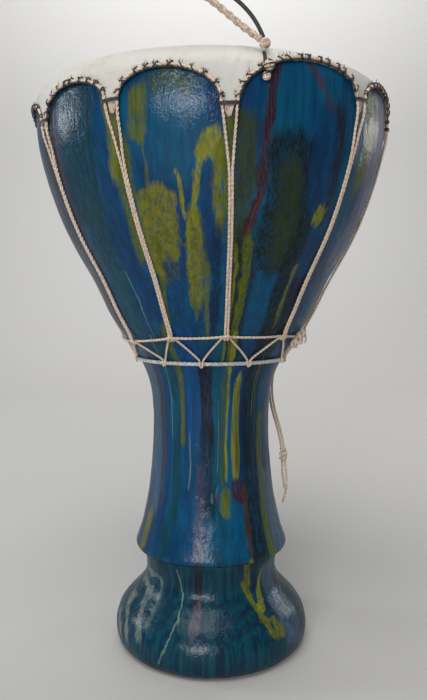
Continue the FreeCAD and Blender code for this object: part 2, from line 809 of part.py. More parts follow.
half_pair = (size("tail_diameter") + size("tail_gap")) / 2
add_piece("tail_hitch", [pebble(HITCH_CENTRE, HITCH_ANGLE, HITCH_HALF, HITCH_HALF * HITCH_WIDTH, HITCH_HALF)])
free_cord("tail_strand_a", route(TAIL_START, TAIL_ROUTE + LONG_END, half_pair), size("tail_diameter"))
free_cord("tail_strand_b", route(TAIL_START, TAIL_ROUTE + SHORT_END, -half_pair), size("tail_diameter"))
knot_half = size("tail_knot_radius")
knot_height = size("tail_knot_half_height")
knot_width = knot_half * TAIL_KNOT_WIDTH
add_piece("tail_knot", [pebble(TAIL_START + TAIL_KNOT_STEP, 0, knot_half, knot_width, knot_height)])


# ---------------------------------------------------------------- carry loop

LOOP_ANGLE = size("loop_angle")
KNOT_RADIUS = size("loop_knot_radius")
LUMP = size("rim_lump_radius")
SKIN_ROUND = size("rim_round") + SKIN_LEVEL
RIM_THREAD = size("rim_thread_diameter")
BASE_TILT = 45.0
THREAD_TILTS = (8.0, 16.0, 24.0, 33.0)
# The rim tie's two lumps: how far round, how far up from the shoulder, and their sizes as shares of the lump.
UPPER_LUMP = {"turn": 0.6, "rise": 0.27, "deep": 1.0, "wide": 1.1, "tall": 1.0}
LOWER_LUMP = {"turn": 0.0, "rise": -1.7, "deep": 0.8, "wide": 0.9, "tall": 0.75}
END_KNOT_STEP = (-49.0, -3.5, 31.8)
END_KNOT_SHARE = 1.15


def on_shoulder(angle, tilt, distance):
    """A point round the skin's shoulder; tilt is 0 at the side and 90 on top."""
    lean = math.radians(tilt)
    radius = ARC_RADIUS + distance * math.cos(lean)
    return outward(angle) * radius + FreeCAD.Vector(0, 0, SHOULDER + distance * math.sin(lean))


LOOP_BASE = on_shoulder(LOOP_ANGLE, BASE_TILT, SKIN_ROUND + KNOT_RADIUS + size("body_gap"))

# Steps from the middle of the base knot: sideways (+ is right, seen from outside), outwards and up.
ROPE_ROUTE = [
    (-2.6, 0.0, 1.8), (-12.0, -1.0, 7.5), (-23.0, -2.0, 16.0), (-35.5, -3.0, 24.5), (-46.5, -3.5, 29.5),
]
LOOP_CORD_ROUTE = [
    (-0.8, 0.0, 3.0), (-4.5, 0.5, 10.5), (-13.5, 0.5, 20.0), (-26.0, -0.5, 28.0), (-38.5, -2.0, 32.8),
    (-46.0, -3.2, 33.8),
]


def from_base(steps):
    across = along(LOOP_ANGLE)
    out = outward(LOOP_ANGLE)
    return [LOOP_BASE + across * a + out * b + FreeCAD.Vector(0, 0, c) for a, b, c in steps]


def make_rim_thread():
    distance = SKIN_ROUND + RIM_THREAD / 2 + CLEAR
    return held_cord([on_shoulder(LOOP_ANGLE, tilt, distance) for tilt in THREAD_TILTS], RIM_THREAD)


def make_rim_lump(shares):
    """One lump of the rim tie, resting on the skin."""
    standoff = SKIN_LEVEL + LUMP * shares["deep"] + CLEAR
    centre = on_shell(LOOP_ANGLE + shares["turn"], SHOULDER + LUMP * shares["rise"], standoff)
    return pebble(centre, LOOP_ANGLE, LUMP * shares["deep"], LUMP * shares["wide"], LUMP * shares["tall"])


add_piece("rim_tie_upper", [make_rim_lump(UPPER_LUMP)])
add_piece("rim_tie_lower", [make_rim_lump(LOWER_LUMP)])
add_piece("rim_tie_thread", [make_rim_thread()])
add_piece("carry_loop_base_knot", [pebble(LOOP_BASE, LOOP_ANGLE, KNOT_RADIUS, KNOT_RADIUS, KNOT_RADIUS)])
free_cord("carry_loop_rope", from_base(ROPE_ROUTE), size("rope_diameter"))
free_cord("carry_loop_cord", from_base(LOOP_CORD_ROUTE), size("loop_cord_diameter"))
end_half = KNOT_RADIUS * END_KNOT_SHARE
loop_end = from_base([END_KNOT_STEP])[0]
add_piece("carry_loop_end_knot", [pebble(loop_end, LOOP_ANGLE, KNOT_RADIUS, end_half, end_half)])


# ---------------------------------------------------------------- checks and files

doc.recompute()
for item in doc.Objects:
    if any(word in ("Invalid", "Error") for word in item.State):
        raise ValueError(item.Label + " is " + ", ".join(item.State))

os.makedirs("parts", exist_ok=True)
for name, feature in made.items():
    shape = feature.Shape
    if shape.isNull() or not shape.isValid() or shape.Volume <= 0:
        raise ValueError("%s has no valid solid (volume %.3f)" % (name, shape.Volume))
    feature.Label = name
    shape.exportStep("parts/" + name + ".step")
print("nodes", len(made))
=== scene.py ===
import math
import random

import bmesh
import bpy
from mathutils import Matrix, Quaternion, Vector, noise


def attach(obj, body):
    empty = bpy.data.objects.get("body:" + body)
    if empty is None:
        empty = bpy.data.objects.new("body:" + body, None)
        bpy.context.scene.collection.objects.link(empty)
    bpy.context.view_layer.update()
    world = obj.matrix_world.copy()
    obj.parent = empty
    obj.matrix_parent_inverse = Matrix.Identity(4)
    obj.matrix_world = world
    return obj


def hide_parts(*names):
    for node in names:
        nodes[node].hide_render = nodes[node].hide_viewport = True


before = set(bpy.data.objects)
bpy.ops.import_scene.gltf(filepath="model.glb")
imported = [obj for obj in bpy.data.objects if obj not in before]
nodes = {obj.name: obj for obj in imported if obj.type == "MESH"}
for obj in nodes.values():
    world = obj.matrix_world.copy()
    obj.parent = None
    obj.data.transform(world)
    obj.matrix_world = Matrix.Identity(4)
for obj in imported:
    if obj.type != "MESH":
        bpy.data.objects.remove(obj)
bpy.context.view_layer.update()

# Goblet drum: painted clay shell, goatskin head, twine tension cords, waist lacing, cord tail and carry loop.
# Metres. Sizes below are in millimetres and are multiplied by MM where they become places.
# Angles are degrees round the drum's axis, 0 towards -Y and rising towards +X.

MM = 0.001
scene = bpy.context.scene
chance = random.Random(11)

# ---------------------------------------------------------------- camera, floor and light

CAMERA_PLACE = (0.0020, -0.5335, 0.2769)
CAMERA_PITCH = 85.0
CAMERA_LENS = 34.97
SENSOR_WIDTH = 36.0

LIGHT_TARGET = Vector((0.0, 0.0, 0.27))
# Each light: its direction from the target, distance, width, height, power, colour, and its turn about X in
# degrees where it faces the wall and not the drum.
LIGHTS = {
    "window_left": ((-0.985, 0.17, 0.22), 1.6, 0.30, 0.40, 6.0, (0.93, 0.97, 1.0), None),
    "window_front": ((-0.24, -0.95, 0.16), 1.8, 0.62, 0.42, 17.0, (0.97, 0.98, 1.0), None),
    "window_right": ((0.87, 0.50, 0.20), 1.7, 0.18, 0.40, 4.0, (1.0, 0.97, 0.93), None),
    "ceiling": ((-0.15, -0.45, 1.0), 2.0, 1.30, 1.30, 27.0, (1.0, 0.99, 0.97), None),
    "wall_wash": ((0.0, 0.55, 1.0), 2.2, 1.80, 0.60, 40.0, (1.0, 1.0, 1.0), 52.0),
}
WORLD_COLOUR = (0.82, 0.83, 0.84, 1.0)
WORLD_STRENGTH = 0.20
WORLD_EXTRA_WHEN_SEEN = 0.42


def make_camera():
    data = bpy.data.cameras.new("camera")
    data.sensor_width = SENSOR_WIDTH
    data.lens = CAMERA_LENS
    camera = bpy.data.objects.new("camera", data)
    camera.location = CAMERA_PLACE
    camera.rotation_euler = (math.radians(CAMERA_PITCH), 0.0, 0.0)
    scene.collection.objects.link(camera)
    scene.camera = camera


def make_light(name, direction, distance, width, height, power, colour, turn):
    """A soft rectangular light."""
    data = bpy.data.lights.new(name, "AREA")
    data.shape = "RECTANGLE"
    data.size = width
    data.size_y = height
    data.energy = power
    data.color = colour
    light = bpy.data.objects.new(name, data)
    way = Vector(direction).normalized()
    light.location = LIGHT_TARGET + way * distance
    if turn is None:
        light.rotation_euler = (-way).to_track_quat("-Z", "Y").to_euler()
    else:
        light.rotation_euler = (math.radians(turn), 0.0, 0.0)
    scene.collection.objects.link(light)


make_camera()
for light_name, settings in LIGHTS.items():
    make_light(light_name, *settings)
scene.view_settings.view_transform = "Standard"

# ---------------------------------------------------------------- node helpers


def linear(code):
    """A colour from its six-digit code, as the shaders read it."""
    shares = [int(code[i : i + 2], 16) / 255.0 for i in (0, 2, 4)]
    return tuple(x / 12.92 if x <= 0.04045 else ((x + 0.055) / 1.055) ** 2.4 for x in shares) + (1.0,)


def fill(tree, node, inputs):
    for name, value in inputs.items():
        socket = node.inputs[name]
        if isinstance(value, bpy.types.NodeSocket):
            tree.links.new(value, socket)
        else:
            socket.default_value = value
    return node


def maths(tree, operation, first, second=0.0, third=None):
    node = tree.nodes.new("ShaderNodeMath")
    node.operation = operation
    values = {0: first, 1: second}
    if third is not None:
        values[2] = third
    return fill(tree, node, values).outputs[0]


def ramp(tree, value, low, high, to_low=0.0, to_high=1.0):
    """A smooth step of a value from one number to another."""
    node = tree.nodes.new("ShaderNodeMapRange")
    node.interpolation_type = "SMOOTHSTEP"
    inputs = {"Value": value, "From Min": low, "From Max": high, "To Min": to_low, "To Max": to_high}
    return fill(tree, node, inputs).outputs[0]


def blend_colours(tree, share, first, second):
    node = tree.nodes.new("ShaderNodeMix")
    node.data_type = "RGBA"
    fill(tree, node, {0: share, 6: first, 7: second})
    return node.outputs[2]


def grain(tree, vector, stretch, detail, roughness=0.5):
    """Noise on coordinates that are stretched first."""
    mapping = tree.nodes.new("ShaderNodeMapping")
    fill(tree, mapping, {"Vector": vector, "Scale": stretch})
    node = tree.nodes.new("ShaderNodeTexNoise")
    fill(tree, node, {"Vector": mapping.outputs[0], "Scale": 1.0, "Detail": detail, "Roughness": roughness})
    return node.outputs["Fac"]


def bump(tree, height, strength, distance, normal=None):
    node = tree.nodes.new("ShaderNodeBump")
    fill(tree, node, {"Height": height, "Strength": strength, "Distance": distance})
    if normal is not None:
        tree.links.new(normal, node.inputs["Normal"])
    return node.outputs[0]


def new_material(name):
    material = bpy.data.materials.new(name)
    material.use_nodes = True
    tree = material.node_tree
    shader = tree.nodes["Principled BSDF"]
    coordinates = tree.nodes.new("ShaderNodeTexCoord").outputs["Object"]
    return material, tree, shader, coordinates


def new_group(name, inputs, outputs):
    group = bpy.data.node_groups.new(name, "ShaderNodeTree")
    for label, kind in inputs:
        group.interface.new_socket(label, in_out="INPUT", socket_type=kind)
    for label, kind in outputs:
        group.interface.new_socket(label, in_out="OUTPUT", socket_type=kind)
    return group, group.nodes.new("NodeGroupInput"), group.nodes.new("NodeGroupOutput")


def place_group(tree, group, inputs):
    node = tree.nodes.new("ShaderNodeGroup")
    node.node_tree = group
    return fill(tree, node, inputs)


def make_world():
    """A pale grey world, brighter to the camera than in the light that it casts."""
    world = bpy.data.worlds.new("studio")
    scene.world = world
    world.use_nodes = True
    tree = world.node_tree
    seen = tree.nodes.new("ShaderNodeLightPath").outputs["Is Camera Ray"]
    strength = maths(tree, "MULTIPLY_ADD", seen, WORLD_EXTRA_WHEN_SEEN, WORLD_STRENGTH)
    fill(tree, tree.nodes["Background"], {"Color": WORLD_COLOUR, "Strength": strength})


make_world()

# ---------------------------------------------------------------- paint

PUSH_ASIDE = 0.15


def make_paint_run():
    """A poured run of paint: a leaning band between two heights, with rounded and broken edges.

    Wet paint pushes the runs laid over it a little aside, so each run hands its angle on to the next.
    """
    names = [
        "Angle", "Height", "Streak", "Centre", "Half Width", "Softness", "Lean", "Pivot", "Top", "Bottom",
        "Fade", "Roundness", "Broken",
    ]
    group, given, result = new_group(
        "paint_run", [(name, "NodeSocketFloat") for name in names],
        [("Mask", "NodeSocketFloat"), ("Pushed Angle", "NodeSocketFloat")]
    )
    value = given.outputs
    lean = maths(group, "MULTIPLY", maths(group, "SUBTRACT", value["Height"], value["Pivot"]), value["Lean"])
    aside = maths(group, "SUBTRACT", maths(group, "SUBTRACT", value["Angle"], value["Centre"]), lean)
    away = maths(group, "ABSOLUTE", aside)
    torn = maths(group, "MULTIPLY_ADD", maths(group, "SUBTRACT", value["Streak"], 0.5), value["Broken"], away)
    outer = maths(group, "ADD", value["Half Width"], value["Softness"])
    inner = maths(group, "SUBTRACT", value["Half Width"], value["Softness"])
    across = ramp(group, torn, outer, inner)
    curve = maths(group, "MULTIPLY", maths(group, "MULTIPLY", aside, aside), value["Roundness"])
    high = maths(group, "ADD", value["Height"], curve)
    low = maths(group, "SUBTRACT", value["Height"], curve)
    above = ramp(group, high, maths(group, "ADD", value["Top"], value["Fade"]), value["Top"])
    below = ramp(group, low, maths(group, "SUBTRACT", value["Bottom"], value["Fade"]), value["Bottom"])
    mask = maths(group, "MULTIPLY", maths(group, "MULTIPLY", above, below), across)
    group.links.new(mask, result.inputs["Mask"])
    pushed = maths(group, "MULTIPLY_ADD", mask, PUSH_ASIDE, value["Angle"])
    group.links.new(pushed, result.inputs["Pushed Angle"])
    return group


PAINT_CODES = {
    "deep_blue": "04406e", "teal_blue": "04587e", "bright_blue": "07508c", "night_blue": "062a4c",
    "petrol": "0b3a46", "dark_teal": "0b4652", "teal": "0b5a6c", "blue_black": "0a1c2c",
    "olive": "667012", "olive_yellow": "7f8012", "yellow_green": "93941a",
    "dark_olive": "3c4712", "black_green": "13201a", "moss": "4d5e1c", "maroon": "431c1e",
    "maroon_black": "23141c", "orange_brown": "7d4520", "brown": "57391f", "red": "7a2a2a",
    "grey_lavender": "77789a", "grey_blue": "56708c",
    "purple_grey": "47455a", "pinkish_grey": "6d6570", "grey_brown": "4f4846", "pale_line": "7d9a86",
    "light_blue": "4f86a8", "maroon_grey": "4b3740", "foot_blue": "06344f", "foot_teal": "084656",
    "marble_grey": "5f7c7e", "marble_cream": "93a08f", "fired_clay": "6a4a35", "pale_clay": "94705a",
}
PAINTS = {name: linear(code) for name, code in PAINT_CODES.items()}

# Each run: paint, middle angle, half width and softness in degrees, top, bottom and fade in millimetres,
# lean in degrees per 100 mm of height, roundness, how broken its edges are, and strength.
BOWL_RUNS = [
    ("grey_brown", -62, 9, 4, 404, 250, 10, 4, 0, 4, 0.8),
    ("petrol", -43, 8, 3, 404, 325, 14, 6, 0, 6, 0.95),
    ("dark_teal", -44, 8, 4, 330, 250, 14, 5, 0, 5, 0.9),
    ("deep_blue", -33, 4, 2, 404, 250, 10, 4, 0, 4, 0.95),
    ("olive_yellow", -28.6, 1.9, 0.6, 396, 345, 8, 3, 0.8, 3, 0.95),
    ("olive", -26.5, 2.5, 0.8, 366, 298, 8, 0, 0.6, 4, 0.95),
    ("olive", -22, 1.2, 0.5, 305, 252, 6, 4, 2, 2, 0.9),
    ("olive", -20.5, 2.8, 0.8, 396, 368, 6, 2, 0.5, 5, 0.95),
    ("olive", -19.6, 0.5, 0.3, 372, 338, 5, 2, 2, 2, 0.8),
    ("moss", -11, 6.5, 3, 404, 391, 4, 0, 0.05, 9, 0.7),
    ("teal_blue", -11, 7, 2, 388, 345, 8, 0, 0.05, 4, 0.9),
    ("olive_yellow", -18, 6.8, 1.2, 338, 286, 5, 5, 0.22, 7, 1.0),
    ("olive", -20, 1.1, 0.5, 310, 284, 4, 0, 3, 2, 0.95),
    ("olive_yellow", -13.5, 1.0, 0.5, 306, 288, 4, 0, 3, 2, 0.95),
    ("deep_blue", -15, 4.5, 2, 296, 244, 6, 0, 0.1, 4, 0.95),
    ("yellow_green", -9.0, 0.8, 0.4, 346, 326, 5, -5, 2, 2, 1.0),
    ("olive_yellow", -5.4, 3.2, 0.8, 324, 268, 8, 1, 0.5, 7, 1.0),
    ("yellow_green", -3.6, 1.0, 0.4, 360, 320, 5, 7, 0.5, 3, 1.0),
    ("yellow_green", 0.6, 3.2, 0.8, 370, 352, 5, 0, 0.3, 5, 1.0),
    ("olive_yellow", 2.2, 1.5, 0.6, 360, 318, 8, 0, 1.4, 4, 1.0),
    ("yellow_green", -7.6, 0.7, 0.4, 318, 282, 6, 0, 1, 3, 0.8),
    ("olive", -6.4, 0.8, 0.4, 276, 256, 4, 0, 4, 2, 0.9),
    ("olive", -1.8, 1.0, 0.4, 292, 246, 6, 1, 2, 2, 0.9),
    ("night_blue", 1.6, 1.9, 0.7, 316, 246, 8, 1, 0.4, 3, 0.95),
    ("deep_blue", -1.0, 1.7, 0.7, 346, 300, 8, 1, 0.6, 3, 0.95),
    ("olive", 5.4, 1.8, 0.7, 388, 318, 8, 0, 0.5, 4, 0.95),
    ("teal_blue", 6, 2.2, 1, 318, 246, 8, 0, 0.5, 3, 0.8),
    ("dark_olive", 10.4, 2.9, 1, 378, 262, 12, 0, 0.3, 5, 0.95),
    ("black_green", 14, 4.4, 1.2, 306, 226, 8, 0, 0.2, 3, 0.85),
    ("teal_blue", 22, 6.5, 2, 405, 362, 8, 0, 0.05, 5, 0.9),
    ("black_green", 26, 8.6, 1.4, 368, 290, 8, 0, 0.08, 6, 0.95),
    ("dark_olive", 26, 4.5, 2, 350, 296, 12, -6, 0.2, 8, 0.7),
    ("maroon", 16.0, 1.7, 0.6, 405, 312, 8, 5, 0.5, 2, 1.0),
    ("orange_brown", 14.8, 0.6, 0.5, 336, 312, 8, 5, 1, 3, 0.5),
    ("maroon_grey", 33.5, 1.8, 0.8, 407, 380, 4, -38, 0, 3, 0.8),
    ("maroon_black", 41.5, 2.4, 0.9, 386, 326, 10, -11, 0, 3, 0.85),
    ("deep_blue", 35, 4.2, 1.2, 386, 330, 8, -8, 0.1, 4, 0.95),
    ("black_green", 33, 4.6, 1.4, 322, 245, 8, 4, 0, 4, 0.95),
    ("teal_blue", 23, 5.2, 1.4, 288, 244, 6, 0, 0.1, 4, 0.85),
    ("olive_yellow", 9.6, 0.8, 0.35, 302, 226, 6, 1, 2, 1.5, 1.0),
    ("olive", 14.0, 1.9, 0.6, 304, 222, 8, 1, 0.6, 4, 1.0),
    ("yellow_green", 40.5, 2.4, 0.6, 331, 318, 3, 12, 0.6, 4, 1.0),
    ("deep_blue", 42, 4, 1.2, 316, 280, 8, 0, 0.1, 4, 0.9),
    ("olive_yellow", 37.5, 1.2, 0.5, 291, 254, 5, 3, 1.5, 3, 0.95),
    ("maroon_black", 43, 3.2, 1.2, 282, 244, 6, 0, 0.1, 4, 0.95),
    ("teal_blue", 49, 5, 2, 404, 320, 14, 0, 0, 4, 0.9),
    ("olive", 56, 3.6, 1.2, 400, 350, 10, 0, 0.2, 5, 0.95),
    ("grey_lavender", 64, 5.5, 2.4, 404, 300, 12, 0, 0, 6, 0.75),
    ("pale_line", -36.2, 0.32, 0.22, 287, 244, 4, -9, 0, 0.6, 0.9),
]

STEM_RUNS = [
    ("grey_blue", -60, 6, 3, 244, 110, 12, 0, 0, 5, 0.75),
    ("maroon_grey", -50.5, 3.2, 1.4, 236, 118, 10, 0, 0.1, 4, 0.9),
    ("deep_blue", -43.5, 3.4, 1.2, 244, 90, 10, 0, 0, 3, 0.9),
    ("dark_teal", -32, 4, 1.4, 244, 110, 12, 0, 0, 4, 0.9),
    ("olive", -26, 2.1, 0.8, 250, 168, 8, 1, 0.8, 3, 0.95),
    ("bright_blue", -16, 6.4, 1.6, 246, 168, 10, 0, 0.06, 4, 0.9),
    ("maroon_black", -4, 5.4, 1.2, 228, 172, 8, 0, 0.12, 5, 0.95),
    ("blue_black", -3, 7.5, 2, 176, 118, 12, 0, 0, 5, 0.85),
    ("pale_line", -20, 0.7, 0.5, 172, 138, 6, 2, 1, 2, 0.7),
    ("purple_grey", -9.5, 4.0, 1.6, 142, 78, 10, 0, 0.05, 6, 0.75),
    ("teal", 5, 3, 1.2, 244, 140, 10, 0, 0, 4, 0.85),
    ("moss", 11, 2.5, 0.6, 214, 134, 5, 0, 1.4, 2, 0.95),
    ("pale_line", 6.4, 0.28, 0.2, 196, 146, 4, 2, 0, 0.5, 0.75),
    ("black_green", 39, 9.5, 2.4, 250, 80, 14, 0, 0, 5, 0.9),
    ("yellow_green", 22.5, 3.6, 0.8, 212, 138, 5, 2, 0.7, 4, 0.95),
    ("dark_olive", 24.5, 1.0, 0.6, 205, 150, 10, 2, 0.7, 4, 0.6),
    ("light_blue", 2.2, 0.8, 0.4, 131, 124, 2, 0, 1, 3, 0.9),
    ("light_blue", 5.8, 0.6, 0.3, 133, 127, 2, 0, 1, 3, 0.8),
    ("red", 6.8, 0.7, 0.4, 128, 122, 2, 0, 1, 3, 0.9),
    ("olive", 13, 4.5, 0.8, 131, 112, 3, 0, 0.3, 5, 0.95),
    ("maroon", 25, 6.6, 1.4, 138, 120, 4, 0, 0.15, 8, 0.9),
    ("red", 21.5, 1.1, 0.6, 133, 127, 2, 0, 1, 4, 0.8),
    ("brown", 30.5, 2.4, 0.9, 130, 84, 6, 0, 0, 4, 0.85),
    ("yellow_green", 14.5, 1.1, 0.35, 244, 138, 5, 1, 1, 1.2, 1.0),
    ("yellow_green", 41, 0.3, 0.2, 231, 190, 4, 2, 0, 0.6, 0.85),
    ("yellow_green", 43.4, 0.25, 0.2, 226, 196, 4, -2, 0, 0.6, 0.8),
    ("olive", 53, 4.2, 1.2, 182, 80, 8, 0, 0.1, 5, 0.95),
    ("grey_blue", 63, 6.5, 2.4, 136, 80, 8, 0, 0, 5, 0.8),
    ("olive_yellow", -63, 4.4, 1.0, 108, 80, 5, 0, 0.2, 5, 0.9),
    ("pale_line", -38, 0.32, 0.22, 246, 170, 5, 1, 0, 0.7, 0.85),
]

FOOT_RUNS = [
    ("maroon_black", -10.5, 3.6, 1.4, 76, 46, 5, 0, 0.2, 3, 0.9),
    ("pinkish_grey", -10.5, 3.4, 1.4, 46, 30, 4, 0, 0.2, 4, 0.8),
    ("olive_yellow", 31, 2.4, 0.8, 76, 60, 4, -20, 0, 3, 0.95),
    ("olive_yellow", 34, 2.1, 0.7, 62, 27, 4, -30, 0.3, 3, 0.95),
    ("yellow_green", 43, 2.0, 0.7, 66, 40, 4, 34, 0.3, 3, 0.95),
    ("olive_yellow", 46, 4.5, 1.0, 31, 24, 3, 0, 0.08, 4, 0.9),
    ("grey_blue", 58, 9, 3, 66, 14, 8, 0, 0, 6, 0.8),
    ("pale_line", -25.5, 0.55, 0.35, 68, 50, 3, -26, 0, 0.8, 0.9),
    ("pale_line", -22.8, 0.5, 0.35, 52, 36, 3, -8, 0, 0.8, 0.9),
    ("pale_line", -25.8, 0.5, 0.35, 38, 8, 3, 22, 0, 0.8, 0.9),
]


MARBLE_RUN = (-61, 19, 4, 62, 15, 6, 0, 0.02, 8)
MARBLE_STRENGTH = 0.6


def back_runs():
    """The unseen side carries the same paints in bands of its own."""
    runs = []
    order = [
        "teal_blue", "olive", "deep_blue", "maroon", "olive_yellow", "dark_teal", "black_green", "yellow_green",
        "bright_blue", "moss", "grey_blue", "maroon_black",
    ]
    angle = 72.0
    step = 0
    while angle < 288.0:
        half = 2.0 + 5.5 * chance.random()
        turned = angle if angle < 180 else angle - 360
        if abs(turned) + half < 172:
            top = 330 + 75 * chance.random()
            bottom = 130 + 150 * chance.random()
            runs.append((order[step % len(order)], turned, half, 0.5 + 0.2 * half, top, bottom, 8,
                         chance.uniform(-2, 4), 0.15, 5, 0.9))
            runs.append((order[(step + 5) % len(order)], turned + 2, half * 0.5, 0.8, bottom + 10, 70, 8,
                         chance.uniform(-2, 2), 0.5, 4, 0.9))
        angle += 2.0 * half + 3.0
        step += 1
    return runs


def place_run(tree, paint_run, angle, height, streak, run):
    """The outputs of one run that is laid on the paint below it."""
    centre, half, soft, top, bottom, fade, lean, roundness, broken = (float(value) for value in run)
    return place_group(tree, paint_run, {
        "Angle": angle, "Height": height, "Streak": streak, "Centre": centre, "Half Width": half,
        "Softness": soft, "Lean": lean / 100.0, "Pivot": (top + bottom) / 2.0, "Top": top, "Bottom": bottom,
        "Fade": fade, "Roundness": roundness, "Broken": broken,
    }).outputs


def wandering(tree, value, wander, reach):
    """A place that strays by up to half a reach either way."""
    return maths(tree, "MULTIPLY_ADD", maths(tree, "SUBTRACT", wander, 0.5), reach, value)


def make_painted_clay():
    material, tree, shader, coordinates = new_material("painted_clay")
    parts = tree.nodes.new("ShaderNodeSeparateXYZ")
    tree.links.new(coordinates, parts.inputs[0])
    turn = maths(tree, "ARCTAN2", parts.outputs["X"], maths(tree, "MULTIPLY", parts.outputs["Y"], -1.0))
    angle = maths(tree, "MULTIPLY", turn, math.degrees(1.0))
    height = maths(tree, "MULTIPLY", parts.outputs["Z"], 1.0 / MM)
    wander = grain(tree, coordinates, (42.0, 42.0, 14.0), 2.0)
    feather = grain(tree, coordinates, (320.0, 320.0, 70.0), 3.0)
    ragged = grain(tree, coordinates, (110.0, 110.0, 22.0), 3.0)
    streak = grain(tree, coordinates, (260.0, 260.0, 16.0), 4.0, 0.6)
    ripple = grain(tree, coordinates, (95.0, 95.0, 60.0), 2.0)
    bristle = grain(tree, coordinates, (760.0, 760.0, 26.0), 3.0, 0.6)
    dry = ramp(tree, bristle, 0.34, 0.60, 0.45, 1.0)
    moved = wandering(tree, wandering(tree, angle, wander, 7.0), feather, 1.6)
    level = wandering(tree, height, ragged, 26.0)

    bands = grain(tree, coordinates, (52.0, 52.0, 6.0), 3.0)
    banded = ramp(tree, bands, 0.40, 0.60)
    colour = blend_colours(tree, banded, PAINTS["deep_blue"], PAINTS["teal_blue"])
    colour = blend_colours(tree, ramp(tree, wander, 0.55, 0.75), colour, PAINTS["dark_teal"])
    low = ramp(tree, level, 84.0, 74.0)
    foot = blend_colours(tree, ramp(tree, streak, 0.4, 0.62), PAINTS["foot_blue"], PAINTS["foot_teal"])
    colour = blend_colours(tree, low, colour, foot)

    paint_run = make_paint_run()
    for paint, *run, strength in back_runs() + BOWL_RUNS + STEM_RUNS + FOOT_RUNS:
        poured = place_run(tree, paint_run, moved, level, streak, run)
        share = maths(tree, "MULTIPLY", maths(tree, "MULTIPLY", poured["Mask"], strength), dry)
        colour = blend_colours(tree, share, colour, PAINTS[paint])
        moved = poured["Pushed Angle"]

    whorl = tree.nodes.new("ShaderNodeTexWave")
    whorl.wave_type = "RINGS"
    rings = {"Vector": coordinates, "Scale": 26.0, "Distortion": 9.0, "Detail": 2.0, "Detail Scale": 1.4}
    fill(tree, whorl, rings)
    swirl = ramp(tree, whorl.outputs["Fac"], 0.45, 0.75)
    patch = place_run(tree, paint_run, moved, level, streak, MARBLE_RUN)["Mask"]
    marble = blend_colours(tree, ramp(tree, feather, 0.4, 0.6), PAINTS["marble_grey"], PAINTS["marble_cream"])
    share = maths(tree, "MULTIPLY", maths(tree, "MULTIPLY", patch, swirl), MARBLE_STRENGTH)
    colour = blend_colours(tree, share, colour, marble)

    shade = ramp(tree, streak, 0.3, 0.7, 0.48, 0.74)
    tone = tree.nodes.new("ShaderNodeHueSaturation")
    fill(tree, tone, {"Hue": 0.5, "Saturation": 1.0, "Value": shade, "Fac": 1.0, "Color": colour})
    colour = tone.outputs[0]

    bare = ramp(tree, maths(tree, "MULTIPLY_ADD", feather, 4.0, height), 5.5, 3.5)
    clay = blend_colours(tree, feather, PAINTS["fired_clay"], PAINTS["pale_clay"])
    colour = blend_colours(tree, bare, colour, clay)
    inside = tree.nodes.new("ShaderNodeAttribute")
    inside.attribute_name = "inside"
    colour = blend_colours(tree, inside.outputs["Fac"], colour, clay)
    unglazed = maths(tree, "MAXIMUM", bare, inside.outputs["Fac"])

    tree.links.new(colour, shader.inputs["Base Color"])
    tree.links.new(maths(tree, "MULTIPLY_ADD", unglazed, 0.4, ramp(tree, ragged, 0.3, 0.7, 0.40, 0.55)),
                   shader.inputs["Roughness"])
    tree.links.new(maths(tree, "MULTIPLY_ADD", unglazed, -0.30, 0.30), shader.inputs["Coat Weight"])
    shader.inputs["Coat Roughness"].default_value = 0.08
    shader.inputs["Specular IOR Level"].default_value = 0.06
    peel = grain(tree, coordinates, (620.0, 620.0, 520.0), 3.0, 0.6)
    coarse = bump(tree, ripple, 0.5, 0.0014)
    brushed = bump(tree, streak, 0.3, 0.0003, coarse)
    pebbled = bump(tree, peel, 0.5, 0.0005, brushed)
    fine = bump(tree, feather, 0.30, 0.0003, pebbled)
    tree.links.new(fine, shader.inputs["Normal"])
    tree.links.new(fine, shader.inputs["Coat Normal"])
    return material


# ---------------------------------------------------------------- other finishes


def make_fibre():
    """Fine twisted fibre: light and dark hairs, and their relief."""
    group, given, result = new_group(
        "fibre",
        [("Vector", "NodeSocketVector"), ("Fineness", "NodeSocketFloat")],
        [("Shade", "NodeSocketFloat"), ("Relief", "NodeSocketFloat")],
    )
    outputs = []
    for detail, share in ((3.0, 1.0), (5.0, 2.7)):
        node = group.nodes.new("ShaderNodeTexNoise")
        scale = maths(group, "MULTIPLY", given.outputs["Fineness"], share)
        fill(group, node, {"Vector": given.outputs["Vector"], "Scale": scale, "Detail": detail})
        outputs.append(node.outputs["Fac"])
    group.links.new(outputs[0], result.inputs[0])
    group.links.new(outputs[1], result.inputs[1])
    return group


FIBRE = make_fibre()


def make_cord_finish(name, dark, light, fineness, roughness, relief):
    material, tree, shader, coordinates = new_material(name)
    fibre = place_group(tree, FIBRE, {"Vector": coordinates, "Fineness": fineness})
    share = ramp(tree, fibre.outputs["Shade"], 0.32, 0.68)
    tree.links.new(blend_colours(tree, share, linear(dark), linear(light)), shader.inputs["Base Color"])
    shader.inputs["Roughness"].default_value = roughness
    shader.inputs["Sheen Weight"].default_value = 0.15
    tree.links.new(bump(tree, fibre.outputs["Relief"], relief, 0.0004), shader.inputs["Normal"])
    return material


SKIN_TONES = {
    "grey": "bab8b1", "pale": "cbc9c2", "stain": "a8a193", "scratch": "8f867a", "vein": "b3a795",
    "raw_edge": "b89f80", "hair": "2e2a27",
}


